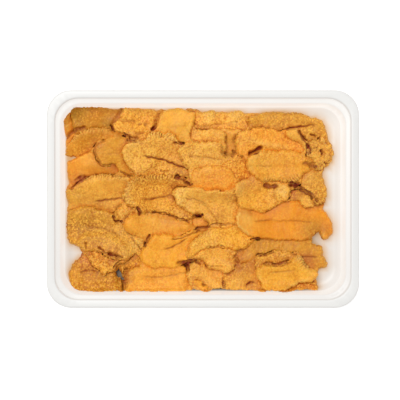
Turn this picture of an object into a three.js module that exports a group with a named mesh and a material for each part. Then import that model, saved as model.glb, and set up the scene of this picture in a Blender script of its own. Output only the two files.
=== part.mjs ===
// An open moulded tray filled with loose tongues of sea urchin roe.
// Millimetres, +Z up, origin at the centre of the tray's flat base, +X along the tray.
// The tongues are laid one after another: each is a soft, slightly domed loft whose
// underside bends over the tray and over every tongue that was laid before it.

import * as THREE from "three";
import { mergeVertices } from "three/addons/utils/BufferGeometryUtils.js";

// ---------------------------------------------------------------- driving sizes

const TRAY = {
  length: 182,
  width: 127,
  height: 26,
  sheet: 1.1, // wall thickness
  lipDrop: 4.2, // height of the down-turned outer lip
  lipRound: 1, // round between the lip and the flange
  flange: 4.4, // width of the flat top flange
  stepDrop: 3.4, // from the flange down to the stacking ledge
  ledgeFrom: 5.4, // insets from the outer edge
  ledgeTo: 7.4,
  ledgeFall: 0.1, // half the ledge's slope
  easing: 0.45, // small rounds along the step and the wall's top
  wallFoot: 8.8, // inset of the wall where the floor's round starts
  floorRound: 4.6, // radius between wall and floor
  floorSteps: 4,
  cornerRadius: 14.5,
  cornerShrink: 0.32, // how fast the corner radius falls with the inset
  cornerSteps: 6,
};

const LAY = {
  cell: 1, // pitch of the height map
  gap: 0.32, // clearance between one piece and the next
  bend: 5, // a tongue bends over about this distance
  swell: 7, // reach of the swell that lifts it off a neighbour's shoulder
  press: 0.8, // how much a tongue is thinned under each one that covers it
  coverEdge: 1.1, // where covering starts and over what distance it fades in,
  coverFade: 0.35, // both as shares of the covering tongue's half size
  slack: 0.01,
  probe: 0.45, // pitch of the points at which contact is tested
  passes: 60,
};

const TONGUE = {
  rim: 0.36, // height of the rim as a share of the thickness
  dome: 2.6, // exponent of the crown across the width
  nose: 3, // exponent of the crown along the length
  noseLeast: 0.25, // thickness left at the very ends, as a share
  swelling: 0.07, // slow waves in the thickness, as a share
  grooveDepth: 1.1,
  grooveReach: 0.16, // half width of the groove, as a share of the half width
  across: [-0.9, -0.62, -0.34, -0.11, 0, 0.11, 0.34, 0.62, 0.9], // points over the crown
  under: [0.8, 0.28, -0.28, -0.8], // points of the underside
  poleLift: 0.2, // height of the end points as a share of the thickness
  stationPitch: 3.8,
  fewestStations: 6,
  mostStations: 13,
  endCrowding: 0.75, // how far the stations crowd towards the round ends, 0 to 1
};

const WAVE = { rate: 1.3, edgeHarmonics: 4, swellHarmonics: 3 };
const SEED = 20;

const COLOURS = {
  tray: 0xf4f2ee,
  bright: 0xf0ab4a,
  golden: 0xe09a3c,
  ochre: 0xc98a34,
  orange: 0xe08a2c,
};
const ROUGHNESS = { tray: 0.35, tongue: 0.5 };

// One row for each tongue, from the lowest to the topmost: its centre, length and width,
// the turn of its length from +X in degrees, the rise of its middle to one side (bow), its
// crown height, how square its two ends are (2 is an ellipse), how far the ends slant,
// the unevenness of its edge, and whether a groove runs down its middle.
const FIELDS = [
  "name", "colour", "x", "y", "length", "width", "turn", "bow", "thick",
  "squareL", "squareR", "slantL", "slantR", "uneven", "groove",
];
const ROWS = [
  ["tongue_00", "orange", -71.0, 39.6, 26, 14, -6, 0, 7, 3.0, 2.4, 0, 0, 0.03, 0],
  ["tongue_01", "ochre", -63.8, 47.0, 34, 16, -1, 0, 5.6, 3.4, 2.6, 0, 0.2, 0.04, 0],
  ["tongue_04", "golden", 10.0, 44.8, 42, 15.5, -1, 0, 6.0, 3.0, 2.6, 0, 0, 0.04, 1],
  ["tongue_21", "ochre", 15.0, 33.0, 25, 16, -5, 0, 5.6, 2.4, 2.4, 0, 0, 0.06, 0],
  ["tongue_28", "orange", 1.8, -14.8, 27, 11, 10, 0, 4.8, 2.2, 2.2, 0, 0, 0.06, 0],
  ["tongue_32", "ochre", -41.5, -37.8, 21, 14, -8, 0, 5.2, 2.4, 2.4, 0, 0, 0.05, 0],
  ["tongue_44", "ochre", 57.2, -49.4, 25, 11, 0, 0, 4.8, 2.4, 2.4, 0, 0, 0.06, 0],
  ["tongue_31", "ochre", -64.5, -44.0, 31, 21, 3, 0, 6.4, 2.6, 2.4, 0, 0, 0.04, 1],
  ["tongue_41", "ochre", 47.2, -32.6, 55, 18, -4, 2, 6.4, 2.4, 3.0, 0, 0, 0.05, 1],
  ["tongue_07", "ochre", -65.0, 32.4, 33, 18, 5, 1, 6.0, 3.2, 2.4, 0, 0, 0.04, 0],
  ["tongue_10", "orange", -64.4, 16.6, 36, 20, -2, 0, 6.4, 3.2, 2.4, 0, 0, 0.04, 0],
  ["tongue_08", "golden", -50.8, 26.0, 27, 21, -8, 0, 5.6, 2.6, 2.4, 0, 0, 0.09, 1],
  ["tongue_02", "golden", -39.5, 45.6, 30, 18.5, 2, 0, 6.0, 3.0, 3.0, 0.32, 0.25, 0.09, 1],
  ["tongue_05", "golden", 51, 40.4, 53, 20, -7, 1, 6.0, 2.8, 3.2, 0, 0, 0.04, 1],
  ["tongue_11", "golden", 3.0, 35.4, 26, 12, 0, 0, 5.2, 2.6, 2.4, 0, 0, 0.06, 0],
  ["tongue_03", "bright", -16.5, 45.0, 24.5, 20.5, 2, 0, 6.4, 4.0, 4.0, 0.36, 0.24, 0.02, 1],
  ["tongue_15", "golden", -62.0, 3.2, 40, 19, 6, 1, 6.0, 2.8, 2.6, 0, 0, 0.03, 1],
  ["tongue_30", "golden", -59.0, -35.4, 25, 14, -32, 0, 5.2, 2.4, 2.4, 0, 0, 0.14, 1],
  ["tongue_20", "ochre", -58.4, -18.3, 50, 25.5, -13, 0, 6.8, 2.8, 2.4, 0, 0, 0.06, 1],
  ["tongue_29", "golden", -44.8, -7.1, 15.5, 12, -60, 0, 4.4, 2.4, 2.4, 0, 0, 0.12, 0],
  ["tongue_33", "golden", -24.2, -47.0, 45, 17, 1, 0, 6.4, 2.6, 2.8, 0, 0.2, 0.03, 1],
  ["tongue_37", "golden", 2.4, -45.8, 24, 17, -6, 0, 5.6, 2.6, 2.6, 0, 0, 0.08, 0],
  ["tongue_39", "golden", 22.4, -47.4, 23.5, 15, 8, 0, 5.6, 2.4, 2.4, 0, 0, 0.08, 0],
  ["tongue_42", "ochre", 43.7, -36.2, 28, 9, 0, 0, 3.8, 2.2, 2.2, 0, 0, 0.12, 0],
  ["tongue_43", "bright", 49.6, -43.6, 37, 19, 9, 0, 6.4, 2.8, 3.2, 0, 0.15, 0.05, 1],
  ["tongue_38", "bright", -0.6, -49.6, 11.5, 7, -25, 0, 3.4, 2.4, 2.4, 0, 0, 0.06, 0],
  ["tongue_27", "golden", -27.1, -15.3, 42, 17, -3, 0, 6.0, 2.4, 2.4, 0, 0, 0.03, 0],
  ["tongue_16", "golden", -26.5, 2.4, 44, 26, -4, 0, 6.4, 2.8, 2.6, 0, 0, 0.08, 1],
  ["tongue_18", "orange", 10.0, 11.8, 36, 17.5, 0, 0, 6.0, 2.6, 2.6, 0, 0, 0.03, 0],
  ["tongue_09", "golden", -26.0, 25.0, 45, 25, -13, 1, 6.4, 2.6, 2.4, 0, 0, 0.05, 1],
  ["tongue_12", "golden", 1.8, 25.2, 33, 17.5, -4, 0, 6.0, 2.6, 2.4, 0, 0, 0.06, 1],
  ["tongue_14", "orange", 39.5, 33.8, 43, 17, -6, 2, 5.6, 2.6, 2.4, 0, 0, 0.05, 0],
  ["tongue_13", "bright", 55.5, 35.0, 16, 7.5, -48, 0, 3.4, 2.2, 2.2, 0, 0, 0.1, 0],
  ["tongue_34", "bright", -20.6, -30.7, 36, 19.5, 14, 0, 6.4, 2.6, 2.4, 0, 0, 0.04, 1],
  ["tongue_17", "bright", 2.6, -4.1, 42, 20, -15, 0, 6.0, 2.6, 3.2, 0, 0, 0.05, 1],
  ["tongue_36", "golden", 5.9, -34.2, 29, 15.5, -14, 0, 6.0, 2.6, 2.4, 0, 0, 0.09, 0],
  ["tongue_35", "bright", 10.6, -23.6, 38, 13.5, 6, 1, 5.6, 2.6, 2.4, 0, 0, 0.05, 0],
  ["tongue_19", "orange", 21.8, 17.1, 22, 15, -65, 0, 4.8, 2.4, 2.4, 0, 0, 0.08, 0],
  ["tongue_26", "orange", 48.6, -15.0, 59, 20.4, -4.5, 2.2, 6.4, 2.8, 2.4, 0, 0, 0.03, 1],
  ["tongue_25", "bright", 57.8, 0.0, 17, 10.6, -30, 0, 4.2, 2.4, 2.4, 0, 0, 0.06, 0],
  ["tongue_24", "ochre", 64.9, 7.7, 26, 16, -60, 1, 5.2, 2.6, 2.6, 0, 0, 0.05, 0],
  ["tongue_23", "bright", 34.8, 1.8, 33, 18, -2, 0, 5.6, 2.4, 2.6, 0, 0, 0.1, 0],
  ["tongue_22", "golden", 46.0, 18.9, 42, 21, 0, 0, 6.4, 2.6, 2.6, 0, 0, 0.03, 0],
  ["tongue_06", "golden", 69.6, 26.5, 21.5, 15.5, -60, 0, 4.8, 2.4, 2.4, 0, 0, 0.14, 0],
];

// ---------------------------------------------------------------- small tools

const mix = (a, b, t) => a + (b - a) * t;
const clamp = (value, low, high) => Math.min(high, Math.max(low, value));
const radians = (degrees) => (degrees * Math.PI) / 180;

// A repeatable stream of numbers from 0 to 1.
function seeded(seed) {
  let state = seed >>> 0;
  return () => {
    state = (state + 0x6d2b79f5) >>> 0;
    let mixed = Math.imul(state ^ (state >>> 15), state | 1);
    mixed ^= mixed + Math.imul(mixed ^ (mixed >>> 7), mixed | 61);
    return ((mixed ^ (mixed >>> 14)) >>> 0) / 4294967296;
  };
}

// A smooth wave over -1..1 made of a few seeded harmonics, about -1 to 1 high.
function seededWave(random, harmonics) {
  const parts = [];
  for (let k = 1; k <= harmonics; k += 1) {
    parts.push({ rate: WAVE.rate * k * Math.PI, phase: random() * 2 * Math.PI, size: 1 / k });
  }
  return (u) => parts.reduce((sum, part) => sum + part.size * Math.sin(part.rate * u + part.phase), 0);
}

// Six times the volume inside a triangle skin; negative when its faces point inwards.
function signedVolume(points, triangles) {
  return triangles.reduce((sum, [a, b, c]) => {
    const [p, q, r] = [points[a], points[b], points[c]];
    const cross = [q[1] * r[2] - q[2] * r[1], q[2] * r[0] - q[0] * r[2], q[0] * r[1] - q[1] * r[0]];
    return sum + p[0] * cross[0] + p[1] * cross[1] + p[2] * cross[2];
  }, 0);
}

// Joins equal rings of points into one closed skin, with a pole before the first ring and
// one after the last. Returns the points and the triangles, faces outwards.
function closedSkin(firstPole, rings, lastPole) {
  const count = rings[0].length;
  const points = [firstPole, ...rings.flat(), lastPole];
  const lastRing = rings.length - 1;
  const at = (ring, k) => 1 + ring * count + (k % count);
  const triangles = [];
  for (let k = 0; k < count; k += 1) {
    triangles.push([0, at(0, k), at(0, k + 1)]);
    triangles.push([points.length - 1, at(lastRing, k + 1), at(lastRing, k)]);
    for (let ring = 0; ring < lastRing; ring += 1) {
      triangles.push([at(ring, k), at(ring + 1, k + 1), at(ring, k + 1)]);
      triangles.push([at(ring, k), at(ring + 1, k), at(ring + 1, k + 1)]);
    }
  }
  if (signedVolume(points, triangles) < 0) {
    triangles.forEach((triangle) => triangle.reverse());
  }
  return { points, triangles };
}

function meshFrom(name, { points, triangles }, colour, roughness) {
  const geometry = new THREE.BufferGeometry();
  geometry.setAttribute("position", new THREE.Float32BufferAttribute(points.flat(), 3));
  geometry.setIndex(triangles.flat());
  const merged = mergeVertices(geometry);
  merged.computeVertexNormals();
  const material = new THREE.MeshStandardMaterial({ color: colour, roughness, metalness: 0 });
  const mesh = new THREE.Mesh(merged, material);
  mesh.name = name;
  return mesh;
}

// Calls visit with evenly spread points of a triangle, its corners and edges among them.
function samplePoints([a, b, c], pitch, visit) {
  const longest = Math.max(
    Math.hypot(a[0] - b[0], a[1] - b[1], a[2] - b[2]),
    Math.hypot(b[0] - c[0], b[1] - c[1], b[2] - c[2]),
    Math.hypot(c[0] - a[0], c[1] - a[1], c[2] - a[2]),
  );
  const steps = Math.max(1, Math.ceil(longest / pitch));
  for (let i = 0; i <= steps; i += 1) {
    for (let j = 0; j + i <= steps; j += 1) {
      const [p, q, r] = [i / steps, j / steps, (steps - i - j) / steps];
      visit([0, 1, 2].map((k) => p * a[k] + q * b[k] + r * c[k]));
    }
  }
}

// ---------------------------------------------------------------- tray

// The tray's wall and floor round as [inset from the outer edge, height], floor first:
// offset 0 is the inner surface, and offset TRAY.sheet the outer one.
function wallPath(offset) {
  const { height, sheet, wallFoot, floorRound, floorSteps, ledgeTo, stepDrop, easing } = TRAY;
  const radius = floorRound + offset;
  const path = [];
  for (let k = 0; k <= floorSteps; k += 1) {
    const angle = (k / floorSteps) * (Math.PI / 2);
    const inset = wallFoot + floorRound - radius * Math.sin(angle);
    path.push([inset, sheet + floorRound - radius * Math.cos(angle)]);
  }
  path.push([ledgeTo + easing - offset, height - stepDrop - 2 * easing - offset / 2]);
  return path;
}

// The whole section: out over the floor and up the wall, over the ledge and the flange,
// down the lip, and back underneath to the base.
function traySection() {
  const { height, sheet, lipDrop, lipRound, flange, stepDrop, ledgeFrom, ledgeTo, ledgeFall, easing } = TRAY;
  const ledge = height - stepDrop;
  const above = [
    [ledgeTo, ledge - ledgeFall],
    [ledgeFrom, ledge + ledgeFall],
    [flange + easing, height - easing],
    [flange, height],
    [lipRound, height],
    [0.3 * lipRound, height - 0.3 * lipRound],
    [0, height - lipRound],
    [0, height - lipDrop],
  ];
  const below = [
    [sheet, height - lipDrop],
    [sheet, height - sheet - 0.3 * lipRound],
    [flange - sheet, height - sheet],
    [ledgeFrom - sheet, ledge - sheet + ledgeFall],
    [ledgeTo - sheet, ledge - sheet - ledgeFall],
  ];
  return [...wallPath(0), ...above, ...below, ...wallPath(sheet).reverse()];
}

const cornerRadiusAt = (inset) => TRAY.cornerRadius - inset * TRAY.cornerShrink;

// A rounded rectangle at one inset, always with the same number of points.
function trayRing(inset, z) {
  const radius = cornerRadiusAt(inset);
  const arcX = TRAY.length / 2 - inset - radius;
  const arcY = TRAY.width / 2 - inset - radius;
  const ring = [];
  for (let corner = 0; corner < 4; corner += 1) {
    const signX = corner === 0 || corner === 3 ? 1 : -1;
    const signY = corner < 2 ? 1 : -1;
    for (let step = 0; step <= TRAY.cornerSteps; step += 1) {
      const angle = ((corner + step / TRAY.cornerSteps) * Math.PI) / 2;
      ring.push([signX * arcX + radius * Math.cos(angle), signY * arcY + radius * Math.sin(angle), z]);
    }
  }
  return ring;
}

function makeTray() {
  const rings = traySection().map(([inset, z]) => trayRing(inset, z));
  const skin = closedSkin([0, 0, TRAY.sheet], rings, [0, 0, 0]);
  return meshFrom("tray", skin, COLOURS.tray, ROUGHNESS.tray);
}

// ---------------------------------------------------------------- room inside the tray

// How far a point lies outside the rounded rectangle at one inset, and the way out.
function wayOut(x, y, inset) {
  const radius = cornerRadiusAt(inset);
  const overX = Math.abs(x) - (TRAY.length / 2 - inset - radius);
  const overY = Math.abs(y) - (TRAY.width / 2 - inset - radius);
  const signX = Math.sign(x) || 1;
  const signY = Math.sign(y) || 1;
  if (overX > 0 && overY > 0) {
    const reach = Math.hypot(overX, overY);
    return { distance: reach - radius, x: (signX * overX) / reach, y: (signY * overY) / reach };
  }
  return overX > overY
    ? { distance: overX - radius, x: signX, y: 0 }
    : { distance: overY - radius, x: 0, y: signY };
}

// Reads the inner wall's path: from one of its two columns to the other (0 inset, 1 height).
const INNER_WALL = wallPath(0);
function readWall(from, to, value) {
  const ends = [INNER_WALL[0][from], INNER_WALL.at(-1)[from]];
  const held = clamp(value, Math.min(...ends), Math.max(...ends));
  const passes = (point, n) => n > 0 && (point[from] - held) * (INNER_WALL[n - 1][from] - held) <= 0;
  const next = INNER_WALL.findIndex(passes);
  const [a, b] = [INNER_WALL[next - 1], INNER_WALL[next]];
  return mix(a[to], b[to], (held - a[from]) / (b[from] - a[from]));
}

// The tray's surface height at a point, found from how far in from the edge it lies.
function trayHeightAt(x, y) {
  const refinements = 4;
  let inset = 0;
  for (let pass = 0; pass < refinements; pass += 1) {
    inset -= wayOut(x, y, inset).distance;
  }
  return readWall(0, 1, inset);
}

// Moves a point sideways until it clears the tray's wall at its own height.
function keepInside([x, y, z]) {
  const out = wayOut(x, y, readWall(1, 0, z) + LAY.gap);
  const back = Math.max(0, out.distance);
  return [x - back * out.x, y - back * out.y, z];
}

// ---------------------------------------------------------------- height map

// The highest point of the pile over each cell of the tray: what the next tongue lies on.
class HeightMap {
  constructor() {
    this.columns = Math.ceil(TRAY.length / LAY.cell);
    this.rows = Math.ceil(TRAY.width / LAY.cell);
    this.pile = new Float64Array(this.columns * this.rows).fill(TRAY.sheet);
  }

  cellAt(x, y) {
    const column = clamp(Math.floor((x + TRAY.length / 2) / LAY.cell), 0, this.columns - 1);
    const row = clamp(Math.floor((y + TRAY.width / 2) / LAY.cell), 0, this.rows - 1);
    return row * this.columns + column;
  }

  solidAt(x, y) {
    return Math.max(this.pile[this.cellAt(x, y)], trayHeightAt(x, y));
  }

  raise(x, y, z) {
    const reach = LAY.cell / 4;
    for (const [dx, dy] of [[-reach, -reach], [reach, -reach], [-reach, reach], [reach, reach]]) {
      const cell = this.cellAt(x + dx, y + dy);
      this.pile[cell] = Math.max(this.pile[cell], z);
    }
  }

  // Each cell's mean over a square window, taken along X and then along Y.
  blur(heights) {
    const { columns, rows } = this;
    const reach = Math.round(LAY.bend / LAY.cell);
    const alongLines = (source, size, stride, lines, lineStride) => {
      const result = new Float64Array(source.length);
      for (let line = 0; line < lines; line += 1) {
        for (let k = 0; k < size; k += 1) {
          const first = Math.max(0, k - reach);
          const last = Math.min(size - 1, k + reach);
          let sum = 0;
          for (let n = first; n <= last; n += 1) {
            sum += source[line * lineStride + n * stride];
          }
          result[line * lineStride + k * stride] = sum / (last - first + 1);
        }
      }
      return result;
    };
    return alongLines(alongLines(heights, columns, 1, rows, columns), rows, columns, columns, 1);
  }

  // A smooth surface over the pile, as a soft tongue would bend over it.
  restSurface() {
    const soft = this.blur(this.blur(this.pile));
    const justInside = 1.001;
    return (x, y) => {
      const across = clamp((x + TRAY.length / 2) / LAY.cell - 0.5, 0, this.columns - justInside);
      const up = clamp((y + TRAY.width / 2) / LAY.cell - 0.5, 0, this.rows - justInside);
      const cell = Math.floor(up) * this.columns + Math.floor(across);
      const near = mix(soft[cell], soft[cell + 1], across % 1);
      const far = mix(soft[cell + this.columns], soft[cell + this.columns + 1], across % 1);
      return mix(near, far, up % 1);
    };
  }
}

// ---------------------------------------------------------------- tongues

// The plan of a tongue: turns (u, v), each -1..1 along and across, into x and y.
function planOf(row, random) {
  const upperEdge = seededWave(random, WAVE.edgeHarmonics);
  const lowerEdge = seededWave(random, WAVE.edgeHarmonics);
  const turn = radians(row.turn);
  const halfLength = row.length / 2;
  return (u, v) => {
    const square = u < 0 ? row.squareL : row.squareR;
    const taper = (1 - Math.abs(u) ** square) ** (1 / square);
    const edge = v > 0 ? upperEdge(u) : lowerEdge(u);
    const half = (row.width / 2) * taper * (1 + row.uneven * edge);
    const slant = mix(row.slantL, row.slantR, (u + 1) / 2);
    const slope = (-2 * row.bow * u) / halfLength;
    const along = u * halfLength + v * half * (slant - slope);
    const aside = row.bow * (1 - u * u) + v * half;
    return [
      row.x + along * Math.cos(turn) - aside * Math.sin(turn),
      row.y + along * Math.sin(turn) + aside * Math.cos(turn),
    ];
  };
}

// The section's stations from end to end, closer together where the ends turn round.
function stationsOf(row) {
  const wanted = Math.round(row.length / TONGUE.stationPitch);
  const count = clamp(wanted, TONGUE.fewestStations, TONGUE.mostStations);
  const stations = [];
  for (let k = 1; k < count; k += 1) {
    const even = (2 * k) / count - 1;
    stations.push(mix(even, Math.sin((even * Math.PI) / 2), TONGUE.endCrowding));
  }
  return stations;
}

// Heights over the rest surface of one section's points, top first and then the underside.
function sectionOf(row, u, thickWave) {
  const { rim, dome, nose, noseLeast, swelling, grooveDepth, grooveReach, across, under } = TONGUE;
  const taper = (1 - Math.abs(u) ** nose) ** (1 / nose);
  const thick = row.thick * mix(noseLeast, 1, taper) * (1 + swelling * thickWave(u));
  const rimLift = rim * thick;
  const groove = row.groove * grooveDepth * taper;
  const top = across.map((v) => {
    const crown = mix(rimLift, thick, (1 - Math.abs(v) ** dome) ** (1 / dome));
    return { v, lift: crown - groove * Math.max(0, 1 - Math.abs(v) / grooveReach), above: true };
  });
  const below = under.map((v) => ({ v, lift: rimLift * v ** 4, above: false }));
  return [{ v: -1, lift: rimLift }, ...top, { v: 1, lift: rimLift }, ...below];
}

// How many of the tongues laid later cover a point, fading out over their edges.
function coverAt(x, y, laterRows) {
  return laterRows.reduce((sum, row) => {
    const turn = radians(row.turn);
    const [dx, dy] = [x - row.x, y - row.y];
    const u = (dx * Math.cos(turn) + dy * Math.sin(turn)) / (row.length / 2);
    const aside = dy * Math.cos(turn) - dx * Math.sin(turn) - row.bow * (1 - u * u);
    const square = u < 0 ? row.squareL : row.squareR;
    const reach = (Math.abs(u) ** square + Math.abs(aside / (row.width / 2)) ** square) ** (1 / square);
    return sum + THREE.MathUtils.smoothstep(LAY.coverEdge - reach, 0, LAY.coverFade);
  }, 0);
}

// Lifts the tongue in broad soft swells until its underside clears what lies below it.
function settle(points, undersides, map) {
  const lift = (centre, height) => {
    for (const point of points) {
      const away = Math.hypot(point[0] - centre[0], point[1] - centre[1]) / LAY.swell;
      point[2] += height * Math.exp(-away * away);
    }
  };
  let touching = true;
  for (let pass = 0; pass < LAY.passes && touching; pass += 1) {
    touching = false;
    for (const corners of undersides) {
      let deepest = LAY.slack;
      let where = null;
      samplePoints(corners.map((k) => points[k]), LAY.probe, (point) => {
        const depth = map.solidAt(point[0], point[1]) + LAY.gap - point[2];
        if (depth > deepest) {
          deepest = depth;
          where = point;
        }
      });
      if (where) {
        lift(where, deepest);
        touching = true;
      }
    }
  }
}

function makeTongue(row, laterRows, seed, map) {
  const random = seeded(seed);
  const plan = planOf(row, random);
  const thickWave = seededWave(random, WAVE.swellHarmonics);
  const rest = map.restSurface();
  const place = (u, v, lift) => {
    const [x, y] = plan(u, v);
    const pressed = lift / (1 + LAY.press * coverAt(x, y, laterRows));
    return keepInside([x, y, rest(x, y) + LAY.gap + pressed]);
  };
  const stations = stationsOf(row);
  const sections = stations.map((u) => sectionOf(row, u, thickWave));
  const rings = stations.map((u, n) => sections[n].map(({ v, lift }) => place(u, v, lift)));
  const poles = [-1, 1].map((u) => place(u, 0, row.thick * TONGUE.poleLift));
  const skin = closedSkin(poles[0], rings, poles[1]);

  const onCrown = skin.points.map((point, k) => {
    const isPole = k === 0 || k === skin.points.length - 1;
    return !isPole && sections[0][(k - 1) % sections[0].length].above;
  });
  settle(skin.points, skin.triangles.filter((corners) => !corners.some((k) => onCrown[k])), map);
  skin.points = skin.points.map(keepInside);
  for (const corners of skin.triangles) {
    samplePoints(corners.map((k) => skin.points[k]), LAY.probe, ([x, y, z]) => map.raise(x, y, z));
  }
  return meshFrom(row.name, skin, COLOURS[row.colour], ROUGHNESS.tongue);
}

// ---------------------------------------------------------------- the whole pack

const pack = new THREE.Group();
pack.name = "roe_tray";
pack.add(makeTray());

const map = new HeightMap();
const rows = ROWS.map((values) => Object.fromEntries(FIELDS.map((field, n) => [field, values[n]])));
rows.forEach((row, k) => {
  pack.add(makeTongue(row, rows.slice(k + 1), SEED + k, map));
});

export default pack;
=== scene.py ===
import math

import bpy
import numpy as np
from mathutils.bvhtree import BVHTree
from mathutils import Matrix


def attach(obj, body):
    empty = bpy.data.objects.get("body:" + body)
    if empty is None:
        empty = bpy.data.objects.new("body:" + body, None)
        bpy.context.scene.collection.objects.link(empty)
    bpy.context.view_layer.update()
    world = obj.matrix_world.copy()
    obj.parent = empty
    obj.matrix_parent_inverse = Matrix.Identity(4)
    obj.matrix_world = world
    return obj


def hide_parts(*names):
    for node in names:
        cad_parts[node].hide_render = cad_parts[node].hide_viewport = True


mm = 0.001
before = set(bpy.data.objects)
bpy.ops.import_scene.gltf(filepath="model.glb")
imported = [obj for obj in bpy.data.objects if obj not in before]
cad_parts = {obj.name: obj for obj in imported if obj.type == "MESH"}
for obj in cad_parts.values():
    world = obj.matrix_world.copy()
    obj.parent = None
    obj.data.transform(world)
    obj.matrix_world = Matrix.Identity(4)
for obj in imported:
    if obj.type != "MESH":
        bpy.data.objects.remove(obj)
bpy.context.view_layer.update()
scene = bpy.context.scene


def only(piece):
    bpy.ops.object.select_all(action="DESELECT")
    bpy.context.view_layer.objects.active = piece
    piece.select_set(True)


def applyModifier(piece, kind, **settings):
    only(piece)
    modifier = piece.modifiers.new(kind.title(), kind)
    for key, value in settings.items():
        setattr(modifier, key, value)
    bpy.ops.object.modifier_apply(modifier=modifier.name)


def smoothStep(low, high, value):
    t = np.clip((value - low) / (high - low), 0, 1)
    return t * t * (3 - 2 * t)


class Wire:  # a shader socket that can be used in sums
    def __init__(self, shader, socket):
        self.shader = shader
        self.socket = socket

    def calculate(self, operation, first, second):
        return self.shader.node("ShaderNodeMath", {"operation": operation}, {0: first, 1: second})

    def __add__(self, other):
        return self.calculate("ADD", self, other)

    def __sub__(self, other):
        return self.calculate("SUBTRACT", self, other)

    def __rsub__(self, other):
        return self.calculate("SUBTRACT", other, self)

    def __mul__(self, other):
        return self.calculate("MULTIPLY", self, other)

    __radd__ = __add__
    __rmul__ = __mul__


class Shader:
    def __init__(self, name):
        self.material = bpy.data.materials.new(name)
        self.material.use_nodes = True
        self.tree = self.material.node_tree
        self.surface = self.tree.nodes["Principled BSDF"]

    def node(self, kind, settings=None, values=None, output=0):
        made = self.tree.nodes.new(kind)
        for key, value in (settings or {}).items():
            setattr(made, key, value)
        for key, value in (values or {}).items():
            self.plug(made.inputs[key], value)
        return Wire(self, made.outputs[output])

    def plug(self, socket, value):
        if isinstance(value, Wire):
            self.tree.links.new(value.socket, socket)
        else:
            socket.default_value = value

    def finish(self, **values):
        for key, value in values.items():
            self.plug(self.surface.inputs[key.replace("_", " ")], value)
        return self.material

    def attribute(self, name):
        return self.node("ShaderNodeAttribute", {"attribute_name": name}, output="Fac")

    def mix(self, first, second, amount, blend="MIX"):  # the colours go in at 6 and 7 and out at 2
        settings = {"data_type": "RGBA", "blend_type": blend}
        return self.node("ShaderNodeMix", settings, {"Factor": amount, 6: first, 7: second}, output=2)

    def tint(self, first, second, amount):
        return self.mix(first, second, amount, "MULTIPLY")

    def place(self):
        return self.node("ShaderNodeTexCoord", output="Object")

    def ramp(self, value, low, high):
        return self.node("ShaderNodeMapRange", None, {"Value": value, "From Min": low, "From Max": high})

    def noise(self, place, size, detail=2):
        sockets = {"Vector": place, "Scale": 1 / (size * mm), "Detail": detail}
        return self.node("ShaderNodeTexNoise", None, sockets)

    def cells(self, place, size, output="Distance"):
        return self.node("ShaderNodeTexVoronoi", None, {"Vector": place, "Scale": 1 / (size * mm)}, output)

    def bump(self, height, distance, strength):
        sockets = {"Height": height, "Distance": distance * mm, "Strength": strength}
        return self.node("ShaderNodeBump", None, sockets)


def colour(red, green, blue):
    def linear(value):
        value /= 255
        return value / 12.92 if value <= 0.04045 else ((value + 0.055) / 1.055) ** 2.4
    return (linear(red), linear(green), linear(blue), 1)


roeLook = {
    "deep": colour(132, 46, 12), "warm": colour(244, 148, 20), "pale": colour(255, 206, 106),
    "drab": colour(184, 132, 36), "rosy": colour(206, 128, 62),
    "shade": colour(232, 214, 186), "shadeGain": 1.6, "shadeStart": 0.4,
    "glint": colour(255, 194, 74), "glintGain": 2.3, "glintStart": 1.1,
    "speck": colour(213, 177, 118), "speckGain": 2.7, "speckStart": 1.1,
    "hollowShadeGain": 1.6, "hollowShadeStart": 0.65,
    "grainSize": 0.85, "grainHeight": 0.2, "grainStrength": 0.6, "mottleSize": 6, "mottleDetail": 3,
    "roughness": 0.44, "roughnessSpread": 0.16, "shine": 0.22,
    "subsurface": 0.25, "subsurfaceReach": (1.0, 0.42, 0.12), "subsurfaceScale": 0.9,
}
roeTones = {
    "roe_bright": colour(255, 184, 56),
    "roe_golden": colour(254, 176, 48),
    "roe_ochre": colour(234, 160, 42),
    "roe_orange": colour(253, 164, 34),
}


def roeMaterial(slot):
    s = roeLook
    shader = Shader(slot)
    place = shader.place()
    grain = shader.attribute("grain")
    seeds = shader.cells(place, s["grainSize"])
    chance = shader.cells(place, s["grainSize"], "Color") + 0  # each grain's own number
    mottle = shader.noise(place, s["mottleSize"], s["mottleDetail"])
    skin = roeTones[slot]
    # the pale mask carries paler tone and painted highlight, the drab mask drabber tone and painted shade,
    # and the rosy mask painted shade beside the neighbours with some random rosy patches
    for name in ("warm", "pale", "drab", "rosy"):
        skin = shader.mix(skin, s[name], shader.attribute(name))
    skin = shader.tint(skin, s["shade"], mottle * s["shadeGain"] - s["shadeStart"])
    skin = shader.mix(skin, s["glint"], (chance * s["glintGain"] - s["glintStart"]) * grain)
    skin = shader.tint(skin, s["speck"], (s["speckStart"] - chance * s["speckGain"]) * grain)
    # painted shade: the hollows between the grains are darkened
    skin = shader.tint(skin, s["speck"], (seeds * s["hollowShadeGain"] - s["hollowShadeStart"]) * grain)
    # painted shade: the crease mask mixes in the deep red-brown in creases, grooves, pits, gaps and where
    # neighbours lie on top
    skin = shader.mix(skin, s["deep"], shader.attribute("creaseShade"))
    return shader.finish(
        Base_Color=skin,
        Roughness=s["roughness"] + chance * s["roughnessSpread"],
        Specular_IOR_Level=s["shine"],
        Normal=shader.bump(grain - seeds * grain, s["grainHeight"], s["grainStrength"]),
        Subsurface_Weight=s["subsurface"],
        Subsurface_Radius=s["subsurfaceReach"],
        Subsurface_Scale=s["subsurfaceScale"] * mm,
    )


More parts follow.
